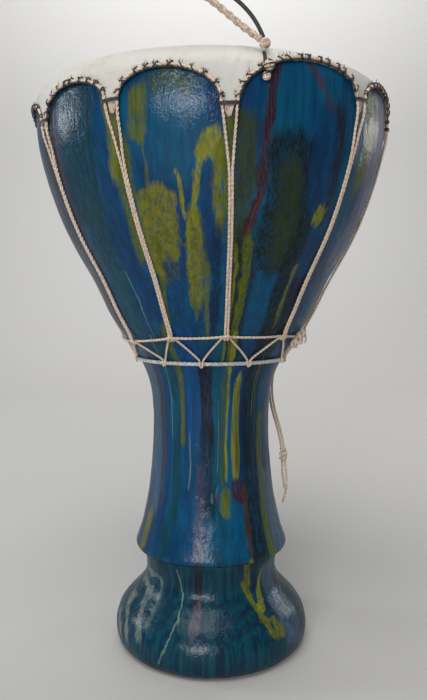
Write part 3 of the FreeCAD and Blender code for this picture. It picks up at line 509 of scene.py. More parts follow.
def make_goatskin():
    material, tree, shader, coordinates = new_material("goatskin")
    tones = {name: linear(code) for name, code in SKIN_TONES.items()}
    cloud = grain(tree, coordinates, (16.0, 16.0, 16.0), 4.0)
    pores = grain(tree, coordinates, (1400.0, 1400.0, 1400.0), 3.0)
    veins = tree.nodes.new("ShaderNodeTexVoronoi")
    veins.feature = "DISTANCE_TO_EDGE"
    fill(tree, veins, {"Vector": coordinates, "Scale": 70.0, "Randomness": 1.0})
    vein = ramp(tree, veins.outputs["Distance"], 0.05, 0.0)
    scratch = ramp(tree, grain(tree, coordinates, (30.0, 30.0, 900.0), 4.0, 0.7), 0.60, 0.70)
    colour = blend_colours(tree, ramp(tree, cloud, 0.35, 0.65), tones["grey"], tones["pale"])
    stain = ramp(tree, grain(tree, coordinates, (60.0, 60.0, 60.0), 5.0, 0.7), 0.52, 0.68)
    colour = blend_colours(tree, maths(tree, "MULTIPLY", stain, 0.35), colour, tones["stain"])
    colour = blend_colours(tree, maths(tree, "MULTIPLY", scratch, 0.35), colour, tones["scratch"])
    colour = blend_colours(tree, maths(tree, "MULTIPLY", vein, 0.10), colour, tones["vein"])
    hem = tree.nodes.new("ShaderNodeAttribute")
    hem.attribute_name = "hem"
    colour = blend_colours(tree, maths(tree, "MULTIPLY", hem.outputs["Fac"], 0.7), colour, tones["raw_edge"])
    speck = ramp(tree, grain(tree, coordinates, (900.0, 900.0, 900.0), 2.0, 0.6), 0.60, 0.66)
    near = ramp(tree, hem.outputs["Fac"], 0.01, 0.2)
    hairs = maths(tree, "MULTIPLY", maths(tree, "MULTIPLY", speck, near), 0.8)
    colour = blend_colours(tree, hairs, colour, tones["hair"])
    tree.links.new(colour, shader.inputs["Base Color"])
    shader.inputs["Roughness"].default_value = 0.5
    shader.inputs["Subsurface Weight"].default_value = 0.12
    shader.inputs["Subsurface Radius"].default_value = (0.004, 0.003, 0.002)
    relief = bump(tree, cloud, 0.25, 0.002)
    tree.links.new(bump(tree, pores, 0.15, 0.0003, relief), shader.inputs["Normal"])
    return material


# Each cord: its dark and light fibres, their fineness, its roughness and how far its fibres stand out.
CORD_FINISHES = {
    "natural_twine": ("b79e86", "dccbb8", 900.0, 0.75, 0.4),
    "waxed_cord": ("9b9a94", "c9c8c3", 500.0, 0.30, 0.2),
    "black_thread": ("141216", "37323a", 1200.0, 0.5, 0.4),
    "twisted_rope": ("9b8573", "d5c3ae", 700.0, 0.8, 0.6),
}
FINISHES = {"painted_clay": make_painted_clay(), "goatskin": make_goatskin()}
for finish_name, settings in CORD_FINISHES.items():
    FINISHES[finish_name] = make_cord_finish(finish_name, *settings)

# ---------------------------------------------------------------- finishing pieces


def finish_piece(name, mesh, slot, body, *replaced):
    """Link a mesh as a piece that rides on a body, takes a slot's finish and stands for its CAD nodes."""
    mesh.materials.clear()
    mesh.materials.append(FINISHES[slot])
    mesh.shade_smooth()
    piece = bpy.data.objects.new(name, mesh)
    scene.collection.objects.link(piece)
    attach(piece, body)
    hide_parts(*replaced)
    return piece


# ---------------------------------------------------------------- clay shell


SECTION_ANGLE = 40.0


def shell_section():
    """The clay wall's closed outline as (radius, height), cut from the shell through its axis."""
    turn = math.radians(SECTION_ANGLE)
    flat = Vector((math.cos(turn), math.sin(turn), 0.0))
    cut = bmesh.new()
    cut.from_mesh(nodes["drum_shell"].data)
    bmesh.ops.remove_doubles(cut, verts=cut.verts, dist=2e-6)
    result = bmesh.ops.bisect_plane(
        cut, geom=cut.verts[:] + cut.edges[:] + cut.faces[:], dist=1e-7, plane_co=(0, 0, 0),
        plane_no=(-math.sin(turn), math.cos(turn), 0.0)
    )
    near = {}
    for edge in result["geom_cut"]:
        if isinstance(edge, bmesh.types.BMEdge) and all(v.co.dot(flat) > 0 for v in edge.verts):
            first, second = edge.verts
            near.setdefault(first, []).append(second)
            near.setdefault(second, []).append(first)
    start = min(near, key=lambda v: (round(v.co.z, 5), v.co.dot(flat)))
    before, here = None, start
    outline = []
    while here is not None and (before is None or here is not start):
        outline.append((here.co.dot(flat), here.co.z))
        onward = [v for v in near[here] if v is not before]
        before, here = here, (onward[0] if onward else None)
    cut.free()
    return outline


def even_line(line, spacing, closed=False):
    """The same line with its points evenly spaced."""
    ring = line + [line[0]] if closed else line
    reach = [0.0]
    for first, second in zip(ring, ring[1:]):
        reach.append(reach[-1] + (second - first).length)
    count = max(2, round(reach[-1] / spacing))
    even = []
    at = 0
    for step in range(count + (0 if closed else 1)):
        target = reach[-1] * step / count
        while at < len(ring) - 2 and reach[at + 1] < target:
            at += 1
        span = max(reach[at + 1] - reach[at], 1e-12)
        even.append(ring[at].lerp(ring[at + 1], min(1.0, (target - reach[at]) / span)))
    return even


OUTLINE = [Vector((radius, 0.0, level)) for radius, level in shell_section()]
RIM = max(point.z for point in OUTLINE) / MM
RIM_ROUND = 15.0
SHOULDER = RIM - RIM_ROUND


def outer_table():
    """The shell's outer radius in millimetres at each half millimetre of height."""
    ring = OUTLINE + [OUTLINE[0]]
    table = [0.0] * (int(RIM * 2) + 2)
    for first, second in zip(ring, ring[1:]):
        steps = max(2, int(abs(second.z - first.z) / MM * 4) + 1)
        for step in range(steps + 1):
            point = first.lerp(second, step / steps)
            row = int(round(point.z / MM * 2))
            table[row] = max(table[row], point.x / MM)
    return table


OUTER = outer_table()


def shell_radius(level):
    row = min(max(level * 2, 0.0), len(OUTER) - 1.001)
    low = int(row)
    return OUTER[low] * (1 - (row - low)) + OUTER[min(low + 1, len(OUTER) - 1)] * (row - low)


ARC_RADIUS = shell_radius(SHOULDER) - RIM_ROUND


def skin_radius(level):
    """The radius that the shell's outside has at a height, exact round the shoulder."""
    if level <= SHOULDER:
        return shell_radius(level)
    rise = min(level - SHOULDER, RIM_ROUND)
    return ARC_RADIUS + math.sqrt(RIM_ROUND**2 - rise**2)


def on_shell(angle, level, standoff=0.0):
    """The place at an angle and a height in millimetres, held off the shell along its normal."""
    slope = (skin_radius(level + 1.0) - skin_radius(level - 1.0)) / 2.0
    length = math.hypot(1.0, slope)
    radius = skin_radius(level) + standoff / length
    turn = math.radians(angle)
    return Vector((radius * math.sin(turn), -radius * math.cos(turn), level - standoff * slope / length)) * MM


def outward(angle):
    return Vector((math.sin(math.radians(angle)), -math.cos(math.radians(angle)), 0.0))


def along(angle):
    return Vector((math.cos(math.radians(angle)), math.sin(math.radians(angle)), 0.0))


WALL_SPACING = 2.4
WALL_STEPS = 216
# The clay's unevenness: how often it comes, per metre, and how deep it is.
WALL_WAVES = ((38.0, 0.35), (105.0, 0.16))


def make_shell():
    wall = bmesh.new()
    profile = [wall.verts.new(point) for point in even_line(OUTLINE, WALL_SPACING * MM, closed=True)]
    edges = [wall.edges.new((a, b)) for a, b in zip(profile, profile[1:] + profile[:1])]
    bmesh.ops.spin(
        wall, geom=profile + edges, cent=(0, 0, 0), axis=(0, 0, 1), dvec=(0, 0, 0), angle=math.tau,
        steps=WALL_STEPS, use_merge=True, use_duplicate=False
    )
    bmesh.ops.remove_doubles(wall, verts=wall.verts, dist=1e-6)
    bmesh.ops.recalc_face_normals(wall, faces=wall.faces)
    inside = wall.verts.layers.float.new("inside")
    for vertex in wall.verts:
        reach = Vector((vertex.co.x, vertex.co.y, 0.0))
        level = vertex.co.z / MM
        depth = skin_radius(level) - reach.length / MM
        vertex[inside] = min(1.0, max(0.0, (depth - 2.0) / 2.0)) if level < SHOULDER else 0.0
        push = sum(noise.noise(vertex.co * often) * depth for often, depth in WALL_WAVES)
        vertex.co += reach.normalized() * push * MM
    mesh = bpy.data.meshes.new("clay_shell")
    wall.to_mesh(mesh)
    wall.free()
    finish_piece("clay_shell", mesh, "painted_clay", "drum", "drum_shell")


make_shell()

# ---------------------------------------------------------------- scallops and skin head

TIP_ANGLES = [-57.5, -26.9, 4.9, 46.9, 83.4, 119.9, 156.4, 192.9, 229.4, 265.9]
TIP_DROPS = [30.5, 29.0, 34.0, 21.5, 23.5, 26.5, 28.5, 29.5, 30.5, 30.5]
ARCH_DROPS = [14.5, 13.5, 6.5, 8.0, 10.5, 12.5, 14.5, 14.5, 15.0, 15.0]
NODE_ANGLES = [-56.0, -22.5, 8.5, 46.7, 83.0, 120.0, 157.0, 193.0, 230.0, 267.0]
NODE_RISES = [-2.0, 1.9, 3.2, 2.2, 0.5, -0.5, -1.5, -2.0, -2.5, -2.5]
LACE_ANGLES = [-34.3, -6.4, 27.2, 65.0, 101.5, 138.5, 175.0, 211.5, 248.5, 285.5]
SCALLOPS = len(TIP_ANGLES)

SKIN_THICKNESS = 1.1
SKIN_LEVEL = 1.25
SKIN_ROUND = RIM_ROUND + SKIN_LEVEL
SKIN_HANG = 30.0
SKIN_TOP_ROWS = 16
SKIN_HANG_ROWS = 30
SKIN_STEPS = 720
TIP_HALF_WIDTH = 4.6
CORD = 2.0
CORD_STANDOFF = 1.15
EDGE_STANDOFF = SKIN_LEVEL + CORD_STANDOFF
MERGE_DROP = 38.0
UPPER_SEAT = 243.0
LOWER_SEAT = 226.0
LOWER_RING = 3.0
LACING = 1.8
CORD_PITCH = 6.0
LACING_PITCH = 5.0
RING_PITCH = 11.0
STITCH_PITCH = 7.0


def scallop(index):
    """One scallop: its two tips' angles, its three heights and its half width."""
    following = (index + 1) % SCALLOPS
    start = TIP_ANGLES[index]
    end = TIP_ANGLES[following]
    if end < start:
        end += 360.0
    radius = skin_radius(SHOULDER) + SKIN_LEVEL
    return {
        "start": start,
        "end": end,
        "middle": (start + end) / 2,
        "left": RIM - TIP_DROPS[index],
        "right": RIM - TIP_DROPS[following],
        "top": RIM - ARCH_DROPS[index],
        "half": radius * math.sin(math.radians(end - start) / 2) - TIP_HALF_WIDTH,
        "radius": radius,
    }


ARCHES = [scallop(index) for index in range(SCALLOPS)]


def arch_place(arch, share):
    turn = math.pi * share
    side = -arch["half"] * math.cos(turn)
    foot = arch["left"] * (1 - share) + arch["right"] * share
    rise = arch["top"] - (arch["left"] + arch["right"]) / 2
    return side, foot + rise * math.sin(turn) ** 0.9


TAB_LENGTH = 9.0
TAB_HALF_WIDTH = 2.7


def beside(angle):
    """The scallop that an angle lies in, and how far it lies from that scallop's middle."""
    for arch in ARCHES:
        turned = angle
        while turned < arch["start"]:
            turned += 360.0
        if turned <= arch["end"]:
            return arch, arch["radius"] * math.sin(math.radians(turned - arch["middle"]))
    raise ValueError("no scallop at %.1f degrees" % angle)


def hem_height(angle):
    """The height of the skin's cut edge at an angle: up each scallop, down to each tip and its raw tab."""
    arch, side = beside(angle)
    if abs(side) < arch["half"]:
        return arch_place(arch, math.acos(-side / arch["half"]) / math.pi)[1]
    tip = arch["left"] if side < 0 else arch["right"]
    from_tip = arch["half"] + TIP_HALF_WIDTH - abs(side)
    return tip - TAB_LENGTH * max(0.0, 1.0 - (from_tip / TAB_HALF_WIDTH) ** 4)


def below_tip(angle, level):
    """How far a place on the skin hangs below the tip beside it."""
    arch, side = beside(angle)
    if abs(side) < arch["half"]:
        return 0.0
    return max(0.0, (arch["left"] if side < 0 else arch["right"]) - level)


def hem_reach(edge):
    """How far a hem height lies from the top of the rim's round, along the skin."""
    if edge >= SHOULDER:
        return SKIN_ROUND * math.acos(min(1.0, (edge - SHOULDER) / SKIN_ROUND))
    return SKIN_ROUND * math.pi / 2 + SHOULDER - edge


def skin_place(along_skin):
    """Radius and height of the skin's outside, so far along from the top of the rim's round."""
    round_length = SKIN_ROUND * math.pi / 2
    if along_skin <= round_length:
        lean = along_skin / SKIN_ROUND
        return ARC_RADIUS + SKIN_ROUND * math.sin(lean), SHOULDER + SKIN_ROUND * math.cos(lean)
    level = SHOULDER - (along_skin - round_length)
    return skin_radius(level) + SKIN_LEVEL, level


def make_skin():
    """A cap that is spun flat, then drawn down over the rim to its scalloped hem, with puckered stitches."""
    cap = bmesh.new()
    top = SHOULDER + RIM_ROUND + SKIN_LEVEL
    rows = [Vector((ARC_RADIUS * step / SKIN_TOP_ROWS, 0.0, top)) for step in range(SKIN_TOP_ROWS + 1)]
    for step in range(1, SKIN_HANG_ROWS + 1):
        rows.append(Vector((ARC_RADIUS + 1.0, 0.0, top - SKIN_HANG * step / SKIN_HANG_ROWS)))
    profile = [cap.verts.new(point * MM) for point in rows]
    edges = [cap.edges.new(pair) for pair in zip(profile, profile[1:])]
    bmesh.ops.spin(
        cap, geom=profile + edges, cent=(0, 0, 0), axis=(0, 0, 1), dvec=(0, 0, 0), angle=math.tau,
        steps=SKIN_STEPS, use_merge=True, use_duplicate=False
    )
    bmesh.ops.remove_doubles(cap, verts=cap.verts, dist=1e-6)
    hem = cap.verts.layers.float.new("hem")
    round_about = math.tau * skin_radius(SHOULDER) / 360.0
    for vertex in cap.verts:
        level = vertex.co.z / MM
        flat = Vector((vertex.co.x, vertex.co.y, 0.0))
        if level > top - 0.01:
            share = min(1.0, (flat.length / MM) / ARC_RADIUS)
            vertex.co.z += noise.noise(vertex.co * 22.0) * 0.22 * MM * share * (1.0 - share) * 4.0
            continue
        share = (top - level) / SKIN_HANG
        angle = math.degrees(math.atan2(flat.x, -flat.y))
        whole = hem_reach(hem_height(angle))
        from_edge = whole * (1.0 - share)
        radius, lower = skin_place(whole * share)
        pleat = 0.5 + 0.5 * math.cos(angle * round_about / STITCH_PITCH * math.tau)
        swell = noise.noise(Vector((angle * 0.11, from_edge * 0.09, 3.0)))
        push = 0.45 * pleat * math.exp(-from_edge / 5.0) + 0.30 * swell * min(1.0, whole * share / 8.0)
        turn = math.radians(angle)
        radius += max(push, -0.1)
        vertex.co = Vector((radius * math.sin(turn), -radius * math.cos(turn), lower)) * MM
        vertex[hem] = max(math.exp(-from_edge / 1.6), min(1.0, below_tip(angle, lower) / 1.5))
    bmesh.ops.recalc_face_normals(cap, faces=cap.faces)
    if sum(face.normal.z for face in cap.faces) < 0:
        bmesh.ops.reverse_faces(cap, faces=cap.faces)
    mesh = bpy.data.meshes.new("skin_head")
    cap.to_mesh(mesh)
    cap.free()
    piece = finish_piece("skin_head", mesh, "goatskin", "drum", "drum_skin")
    wall = piece.modifiers.new("thickness", "SOLIDIFY")
    wall.thickness = SKIN_THICKNESS * MM
    wall.offset = -1.0


make_skin()

# ---------------------------------------------------------------- cord making


def spline_line(points, closed=False):
    """The smooth line that a cord's route makes, as close points along it."""
    data = bpy.data.curves.new("route", "CURVE")
    data.dimensions = "3D"
    data.resolution_u = 10
    spline = data.splines.new("NURBS")
    spline.points.add(len(points) - 1)
    for point, place in zip(spline.points, points):
        point.co = (*place, 1.0)
    spline.order_u = 3
    if closed:
        spline.use_cyclic_u = True
    else:
        spline.use_endpoint_u = True
    holder = bpy.data.objects.new("route", data)
    mesh = bpy.data.meshes.new_from_object(holder)
    line = [vertex.co.copy() for vertex in mesh.vertices]
    bpy.data.meshes.remove(mesh)
    bpy.data.objects.remove(holder)
    bpy.data.curves.remove(data)
    return line


def strands_mesh(name, lines, radius, roundness=1, closed=False, taper=None):
    """One mesh of round strands that follow their lines."""
    data = bpy.data.curves.new(name, "CURVE")
    data.dimensions = "3D"
    data.bevel_depth = radius
    data.bevel_resolution = roundness
    data.use_fill_caps = not closed
    for line in lines:
        spline = data.splines.new("POLY")
        spline.points.add(len(line) - 1)
        for number, (point, place) in enumerate(zip(spline.points, line)):
            point.co = (*place, 1.0)
            point.radius = 1.0 if taper is None else taper(number / (len(line) - 1))
        spline.use_cyclic_u = closed
    holder = bpy.data.objects.new(name, data)
    mesh = bpy.data.meshes.new_from_object(holder)
    bpy.data.objects.remove(holder)
    bpy.data.curves.remove(data)
    mesh.name = name
    return mesh


def plies(line, radius, pitch, count=2, closed=False, phase=0.0):
    """The plies of a laid cord round its middle line; their facing is carried along without twist."""
    size = len(line)
    turns = max(1, round(size * (line[1] - line[0]).length / pitch)) if closed else None
    heading = (line[1] - line[0]).normalized()
    side = heading.orthogonal().normalized()
    places = [[] for _ in range(count)]
    walked = 0.0
    drift = 0.0
    if closed:
        carried = side
        before = heading
        for index in range(size):
            after = (line[(index + 1) % size] - line[index]).normalized()
            carried = before.rotation_difference(after) @ carried
            before = after
        back = before.rotation_difference(heading) @ carried
        drift = math.atan2(heading.dot(side.cross(back)), side.dot(back))
    for index, point in enumerate(line):
        if closed:
            onward = (line[(index + 1) % size] - line[index - 1]).normalized()
        else:
            onward = (line[min(index + 1, size - 1)] - line[max(index - 1, 0)]).normalized()
        side = heading.rotation_difference(onward) @ side
        side = (side - onward * side.dot(onward)).normalized()
        heading = onward
        if closed:
            turn = (math.tau * turns - drift) * index / size
        else:
            if index:
                walked += (point - line[index - 1]).length
            turn = math.tau * walked / pitch
        for number in range(count):
            spin = Quaternion(onward, turn + phase + math.tau * number / count)
            places[number].append(point + (spin @ side) * radius)
    return places


POINTS_PER_TURN = 7.0
PLY_REACH = 0.20
PLY_RADIUS = 0.31


def laid_cord(name, routes, diameter, pitch, closed=False, count=2, roundness=1):
    """The mesh of one or more laid cords; a ply's reach and radius are shares of the cord's diameter."""
    lines = []
    for route in routes:
        even = even_line(route, pitch * MM / POINTS_PER_TURN, closed)
        lines += plies(even, diameter * PLY_REACH * MM, pitch * MM, count, closed, chance.uniform(0, 6))
    return strands_mesh(name, lines, diameter * PLY_RADIUS * MM, roundness, closed)


# ---------------------------------------------------------------- tension cords and stitching


def node_place(index):
    index %= SCALLOPS
    return NODE_ANGLES[index], UPPER_SEAT + NODE_RISES[index]


# The hook round the upper ring, as heights above the ring and distances off the shell.
HOOK = [(-0.6, 0.4), (-1.9, 1.2), (-1.4, 2.9), (0.9, 3.2), (3.0, 2.0)]
ABOVE_HOOK = 6.5
SPLIT_SHARES = (0.25, 0.5, 0.72, 0.88)
ARCH_STEPS = 18


def leg_points(node_index, tip_angle, tip_level, side):
    """One strand: hooked round the upper ring, beside its partner up to the split, then out to the tip."""
    node_angle, node_level = node_place(node_index)
    if tip_angle - node_angle > 180:
        node_angle += 360
    if node_angle - tip_angle > 180:
        node_angle -= 360
    together = CORD * 0.44
    merge = tip_level - MERGE_DROP
    points = []
    for rise, standoff in HOOK:
        shift = math.degrees(side * (together + 0.1) / shell_radius(node_level))
        points.append(on_shell(node_angle + shift, node_level + rise, standoff))
    lowest = node_level + ABOVE_HOOK
    levels = [lowest + (merge - lowest) * step / 8 for step in range(9)]
    levels += [merge + (tip_level - merge) * share for share in SPLIT_SHARES]
    for level in levels:
        spread = max(0.0, (level - merge) / (tip_level - merge))
        sideways = together + (TIP_HALF_WIDTH - together) * spread
        middle = node_angle + (tip_angle - node_angle) * (level - node_level) / (tip_level - node_level)
        lift = min(1.0, max(0.0, (spread - 0.5) / 0.22))
        shift = math.degrees(sideways / skin_radius(level))
        points.append(on_shell(middle + side * shift, level, CORD_STANDOFF + SKIN_LEVEL * lift))
    return points


def arch_line(arch):
    points = []
    for step in range(ARCH_STEPS + 1):
        side, level = arch_place(arch, step / ARCH_STEPS)
        angle = arch["middle"] + math.degrees(math.asin(side / arch["radius"]))
        points.append(on_shell(angle, level, EDGE_STANDOFF))
    return points


def make_tension_cords():
    for index, arch in enumerate(ARCHES):
        up = leg_points(index, arch["start"], arch["left"], 1)
        down = leg_points(index + 1, arch["end"], arch["right"], -1)
        line = spline_line(up + arch_line(arch) + down[::-1])
        name = "tension_cord_%02d" % (index + 1)
        mesh = laid_cord("twine_" + name, [line], CORD, CORD_PITCH)
        finish_piece("twine_" + name, mesh, "natural_twine", "drum", name)


def stitch_frame(edge, at):
    """The cord's middle at a stitch, its heading, the way out and the way up onto the skin."""
    here = edge[at]
    heading = (edge[min(at + 2, len(edge) - 1)] - edge[max(at - 2, 0)]).normalized()
    out = Vector((here.x, here.y, 0.0)).normalized()
    up = heading.cross(out).normalized()
    return here, heading, out, up if up.z > 0 else -up


EDGE_SPACING = 0.5
LOOP_STEPS = 12
LOOP_DEPTH = 1.35
LOOP_HEIGHT = 1.75
UNCROSSED_SHARE = 0.35
LOOP_THREAD = 0.42
RUN_THREAD = 0.38
FRAY_THREAD = 0.24


def make_stitching():
    """Black thread that whips the cord to the skin: crossed loops, the run between them and frayed ends."""
    for index, arch in enumerate(ARCHES):
        edge = even_line(spline_line(arch_line(arch)), EDGE_SPACING * MM)
        count = int((len(edge) - 1) * EDGE_SPACING / STITCH_PITCH)
        loops = []
        frays = []
        run = []
        for number in range(count):
            place = (number + 0.5 + chance.uniform(-0.16, 0.16)) * (len(edge) - 1) / count
            here, heading, out, up = stitch_frame(edge, int(place))
            slant = chance.uniform(0.9, 1.9) * MM
            for turned in (-1.0, 1.0):
                if turned > 0 and chance.random() < UNCROSSED_SHARE:
                    continue
                loop = []
                for step in range(LOOP_STEPS):
                    turn = math.tau * step / LOOP_STEPS
                    loop.append(
                        here + out * (math.cos(turn) * LOOP_DEPTH * MM)
                        + up * (math.sin(turn) * LOOP_HEIGHT * MM)
                        + heading * (math.sin(turn) * slant * turned)
                    )
                loops.append(loop)
            run.append(here - up * 1.5 * MM - heading * slant + out * 0.1 * MM)
            run.append(here - up * 1.35 * MM + heading * slant + out * 0.2 * MM)
            for _ in range(chance.randint(2, 4)):
                root = here + up * 1.6 * MM + heading * chance.uniform(-1.6, 1.6) * MM - out * 0.3 * MM
                aim = (up * chance.uniform(0.6, 2.6) + heading * chance.uniform(-1.8, 1.8)
                       + out * chance.uniform(0.1, 0.7))
                frays.append([root, root + aim * 0.5 * MM + out * 0.3 * MM, root + aim * MM])
        label = "%02d" % (index + 1)
        for part, lines, radius, closed, taper in (
            ("loops", loops, LOOP_THREAD, True, None),
            ("run", [spline_line(run)], RUN_THREAD, False, None),
            ("frays", frays, FRAY_THREAD, False, lambda share: 1.0 - 0.75 * share),
        ):
            name = "thread_%s_%s" % (part, label)
            mesh = strands_mesh(name, lines, radius * MM, 1 if closed else 0, closed, taper)
            finish_piece(name, mesh, "black_thread", "drum", "edge_stitches_" + label)


LASHING_TURNS = 3
LASHING_PAST_TIP = 1.3
LASHING_DEPTH = 1.6
LASHING_HEIGHT = 2.2


def make_tip_lashings():
    """Three turns of black thread across each tip, crossed in front."""
    lines = []
    for arch in ARCHES:
        level = arch["left"] - 1.5
        centre = on_shell(arch["start"], level, EDGE_STANDOFF)
        across = along(arch["start"])
        out = outward(arch["start"])
        reach = (TIP_HALF_WIDTH + LASHING_PAST_TIP) * MM
        depth = LASHING_DEPTH * MM
        route = []
        for step in range(LASHING_TURNS * 12 + 1):
            turn = math.tau * step / 12
            lift = (step / 36.0 - 0.5) * LASHING_HEIGHT * MM + math.cos(turn) * 0.5 * MM
            side = math.copysign(abs(math.cos(turn)) ** 0.8, math.cos(turn))
            deep = math.copysign(abs(math.sin(turn)) ** 0.6, math.sin(turn))
            route.append(centre + across * side * reach + out * deep * depth + Vector((0, 0, lift)))
        lines.append(spline_line(route))
    mesh = strands_mesh("tip_lashing_thread", lines, LOOP_THREAD * MM, 1)
    finish_piece("tip_lashing_thread", mesh, "black_thread", "drum", "tip_lashings")


make_tension_cords()
make_stitching()
make_tip_lashings()

# ---------------------------------------------------------------- waist rings and lacing


def make_rings():
    points = []
    for index in range(SCALLOPS):
        angle, level = node_place(index)
        next_angle, next_level = node_place(index + 1)
        if next_angle < angle:
            next_angle += 360
        points.append(on_shell(angle, level, CORD_STANDOFF))
        for share in (0.25, 0.5, 0.75):
            between = level + (next_level - level) * share - 0.7
            points.append(on_shell(angle + (next_angle - angle) * share, between, CORD_STANDOFF))
    mesh = laid_cord("upper_ring_twine", [spline_line(points, closed=True)], CORD, CORD_PITCH, closed=True)
    finish_piece("upper_ring_twine", mesh, "natural_twine", "drum", "waist_ring_upper")
    standoff = LOWER_RING / 2 + 0.15
    points = [on_shell(7.5 * step, LOWER_SEAT, standoff) for step in range(48)]
    ring = spline_line(points, closed=True)
    mesh = laid_cord("lower_ring_cord", [ring], LOWER_RING, RING_PITCH, closed=True, count=3)
    finish_piece("lower_ring_cord", mesh, "waxed_cord", "drum", "waist_ring_lower")


# The lacing round each ring: sideways, up from the ring's seat, and off the shell.
OVER_UPPER_RING = [
    (-3.2, -1.9, 1.2), (-2.9, -0.2, 2.7), (-2.2, 1.6, 3.6), (2.2, 1.6, 3.6), (2.9, -0.2, 2.7),
    (3.2, -1.9, 1.2),
]
UNDER_LOWER_RING = [
    (-1.0, 2.2, 1.5), (-0.9, 0.8, 3.6), (-0.8, -1.3, 3.3), (0.8, -1.3, 3.3), (0.9, 0.8, 3.6), (1.0, 2.2, 1.5),
]
LACE_SHARES = (0.12, 0.5, 0.88)
LACE_STANDOFF = 1.2


def make_lacing():
    """One cord that zigzags between the rings and is wrapped round each in turn."""
    points = []
    for index in range(SCALLOPS):
        angle, level = node_place(index)
        low_angle = LACE_ANGLES[index]
        if angle > low_angle:
            low_angle += 360
        next_angle, next_level = node_place(index + 1)
        while next_angle < low_angle:
            next_angle += 360
        high = math.degrees(1.0 / shell_radius(UPPER_SEAT))
        low = math.degrees(1.0 / shell_radius(LOWER_SEAT))
        for side, rise, standoff in OVER_UPPER_RING:
            points.append(on_shell(angle + side * high, level + rise, standoff))
        start, end = angle + 3.2 * high, low_angle - 1.0 * low
        for share in LACE_SHARES:
            between = level - 1.9 + (LOWER_SEAT + 4.3 - level) * share
            points.append(on_shell(start + (end - start) * share, between, LACE_STANDOFF))
        for side, rise, standoff in UNDER_LOWER_RING:
            points.append(on_shell(low_angle + side * low, LOWER_SEAT + rise, standoff))
        start, end = low_angle + 1.0 * low, next_angle - 3.2 * high
        for share in LACE_SHARES:
            between = LOWER_SEAT + 2.4 + (next_level - 1.9 - LOWER_SEAT - 2.4) * share
            points.append(on_shell(start + (end - start) * share, between, LACE_STANDOFF))
    mesh = laid_cord("lacing_twine", [spline_line(points, closed=True)], LACING, LACING_PITCH, closed=True)
    finish_piece("lacing_twine", mesh, "natural_twine", "drum", "zigzag_lacing", "upper_wraps", "lower_wraps")


make_rings()
make_lacing()

# ---------------------------------------------------------------- knots


KNOT_TURNS = 2
KNOT_LOBES = 3
KNOT_FLATNESS = 0.75
KNOT_STEPS = 72


def knot_line(centre, facing, size):
    """A closed strand that passes round the knot twice and over and under itself three times."""
    radius = size * MM
    across = Vector((0, 0, 1)).cross(facing).normalized()
    up = facing.cross(across).normalized()
    line = []
    for step in range(KNOT_STEPS):
        turn = math.tau * KNOT_TURNS * step / KNOT_STEPS
        ripple = KNOT_LOBES * turn / KNOT_TURNS
        reach = radius * (0.60 + 0.26 * math.cos(ripple))
        line.append(
            centre + across * reach * math.cos(turn) + up * reach * math.sin(turn)
            + facing * radius * KNOT_FLATNESS * 0.55 * math.sin(ripple)
        )
    return line


def knot_piece(name, knots, thickness, slot, body, node):
    """A knot as a piece: a closed strand for each centre, facing and size."""
    lines = [knot_line(*knot) for knot in knots]
    mesh = strands_mesh(name, lines, thickness * MM, 2, closed=True)
    return finish_piece(name, mesh, slot, body, node)


def leaning(facing, sideways, upwards):
    return (facing + Vector((sideways, 0, upwards))).normalized()


KNOT_ANGLE = 68.0
# Each turn of the knot: its angle from the knot's, its height from the ring's seat, and its size.
WAIST_KNOT_TURNS = ((0.0, 0.5, 4.2), (2.2, 4.0, 3.4), (-1.2, -3.4, 3.4))
WAIST_KNOT_GROWTH = 1.1
WAIST_KNOT_LEGS = ((1.5, 4.5), (4.5, 8.0))
WAIST_KNOT_ENDS = ((5.5, 3.0, 8.0), (-4.0, 5.0, 1.0))


def make_waist_knot():
    """The tied ends of the upper ring: bulky turns, two legs to the lower ring and two loose ends."""
    knots = []
    for aside, rise, size in WAIST_KNOT_TURNS:
        centre = on_shell(KNOT_ANGLE + aside, UPPER_SEAT + rise, size * 0.75 + 0.6)
        knots.append((centre, outward(KNOT_ANGLE + aside), size * WAIST_KNOT_GROWTH))
    knot_piece("waist_knot_turns", knots, 1.0, "natural_twine", "drum", "waist_knot")
    legs = []
    for top_shift, foot_shift in WAIST_KNOT_LEGS:
        points = []
        for share in (0.0, 0.25, 0.5, 0.75, 1.0):
            level = UPPER_SEAT - 2.5 + (LOWER_SEAT + 1.0 - UPPER_SEAT + 2.5) * share
            angle = KNOT_ANGLE + top_shift + (foot_shift - top_shift) * share
            points.append(on_shell(angle, level, 1.2 + 1.6 * (1 - share)))
        points.append(on_shell(KNOT_ANGLE + foot_shift + 0.2, LOWER_SEAT - 1.6, 3.4))
        legs.append(spline_line(points))
    mesh = laid_cord("waist_knot_twine", legs, LACING, LACING_PITCH)
    finish_piece("waist_knot_twine", mesh, "natural_twine", "drum", "waist_knot_legs")
    ends = []
    across = along(KNOT_ANGLE)
    out = outward(KNOT_ANGLE)
    for side, rise, drop in WAIST_KNOT_ENDS:
        base = on_shell(KNOT_ANGLE, UPPER_SEAT + rise, 5.0)
        ends.append([
            base, base + across * side * 0.5 * MM + out * 1.5 * MM,
            base + across * side * MM + out * 1.2 * MM - Vector((0, 0, drop * 0.35 * MM)),
            base + across * side * 1.3 * MM - Vector((0, 0, drop * MM)) * 0.7,
        ])
    mesh = laid_cord("waist_knot_ends", [spline_line(end) for end in ends], LACING, LACING_PITCH)
    finish_piece("waist_knot_ends", mesh, "natural_twine", "drum", "waist_knot")


make_waist_knot()

# ---------------------------------------------------------------- cord tail

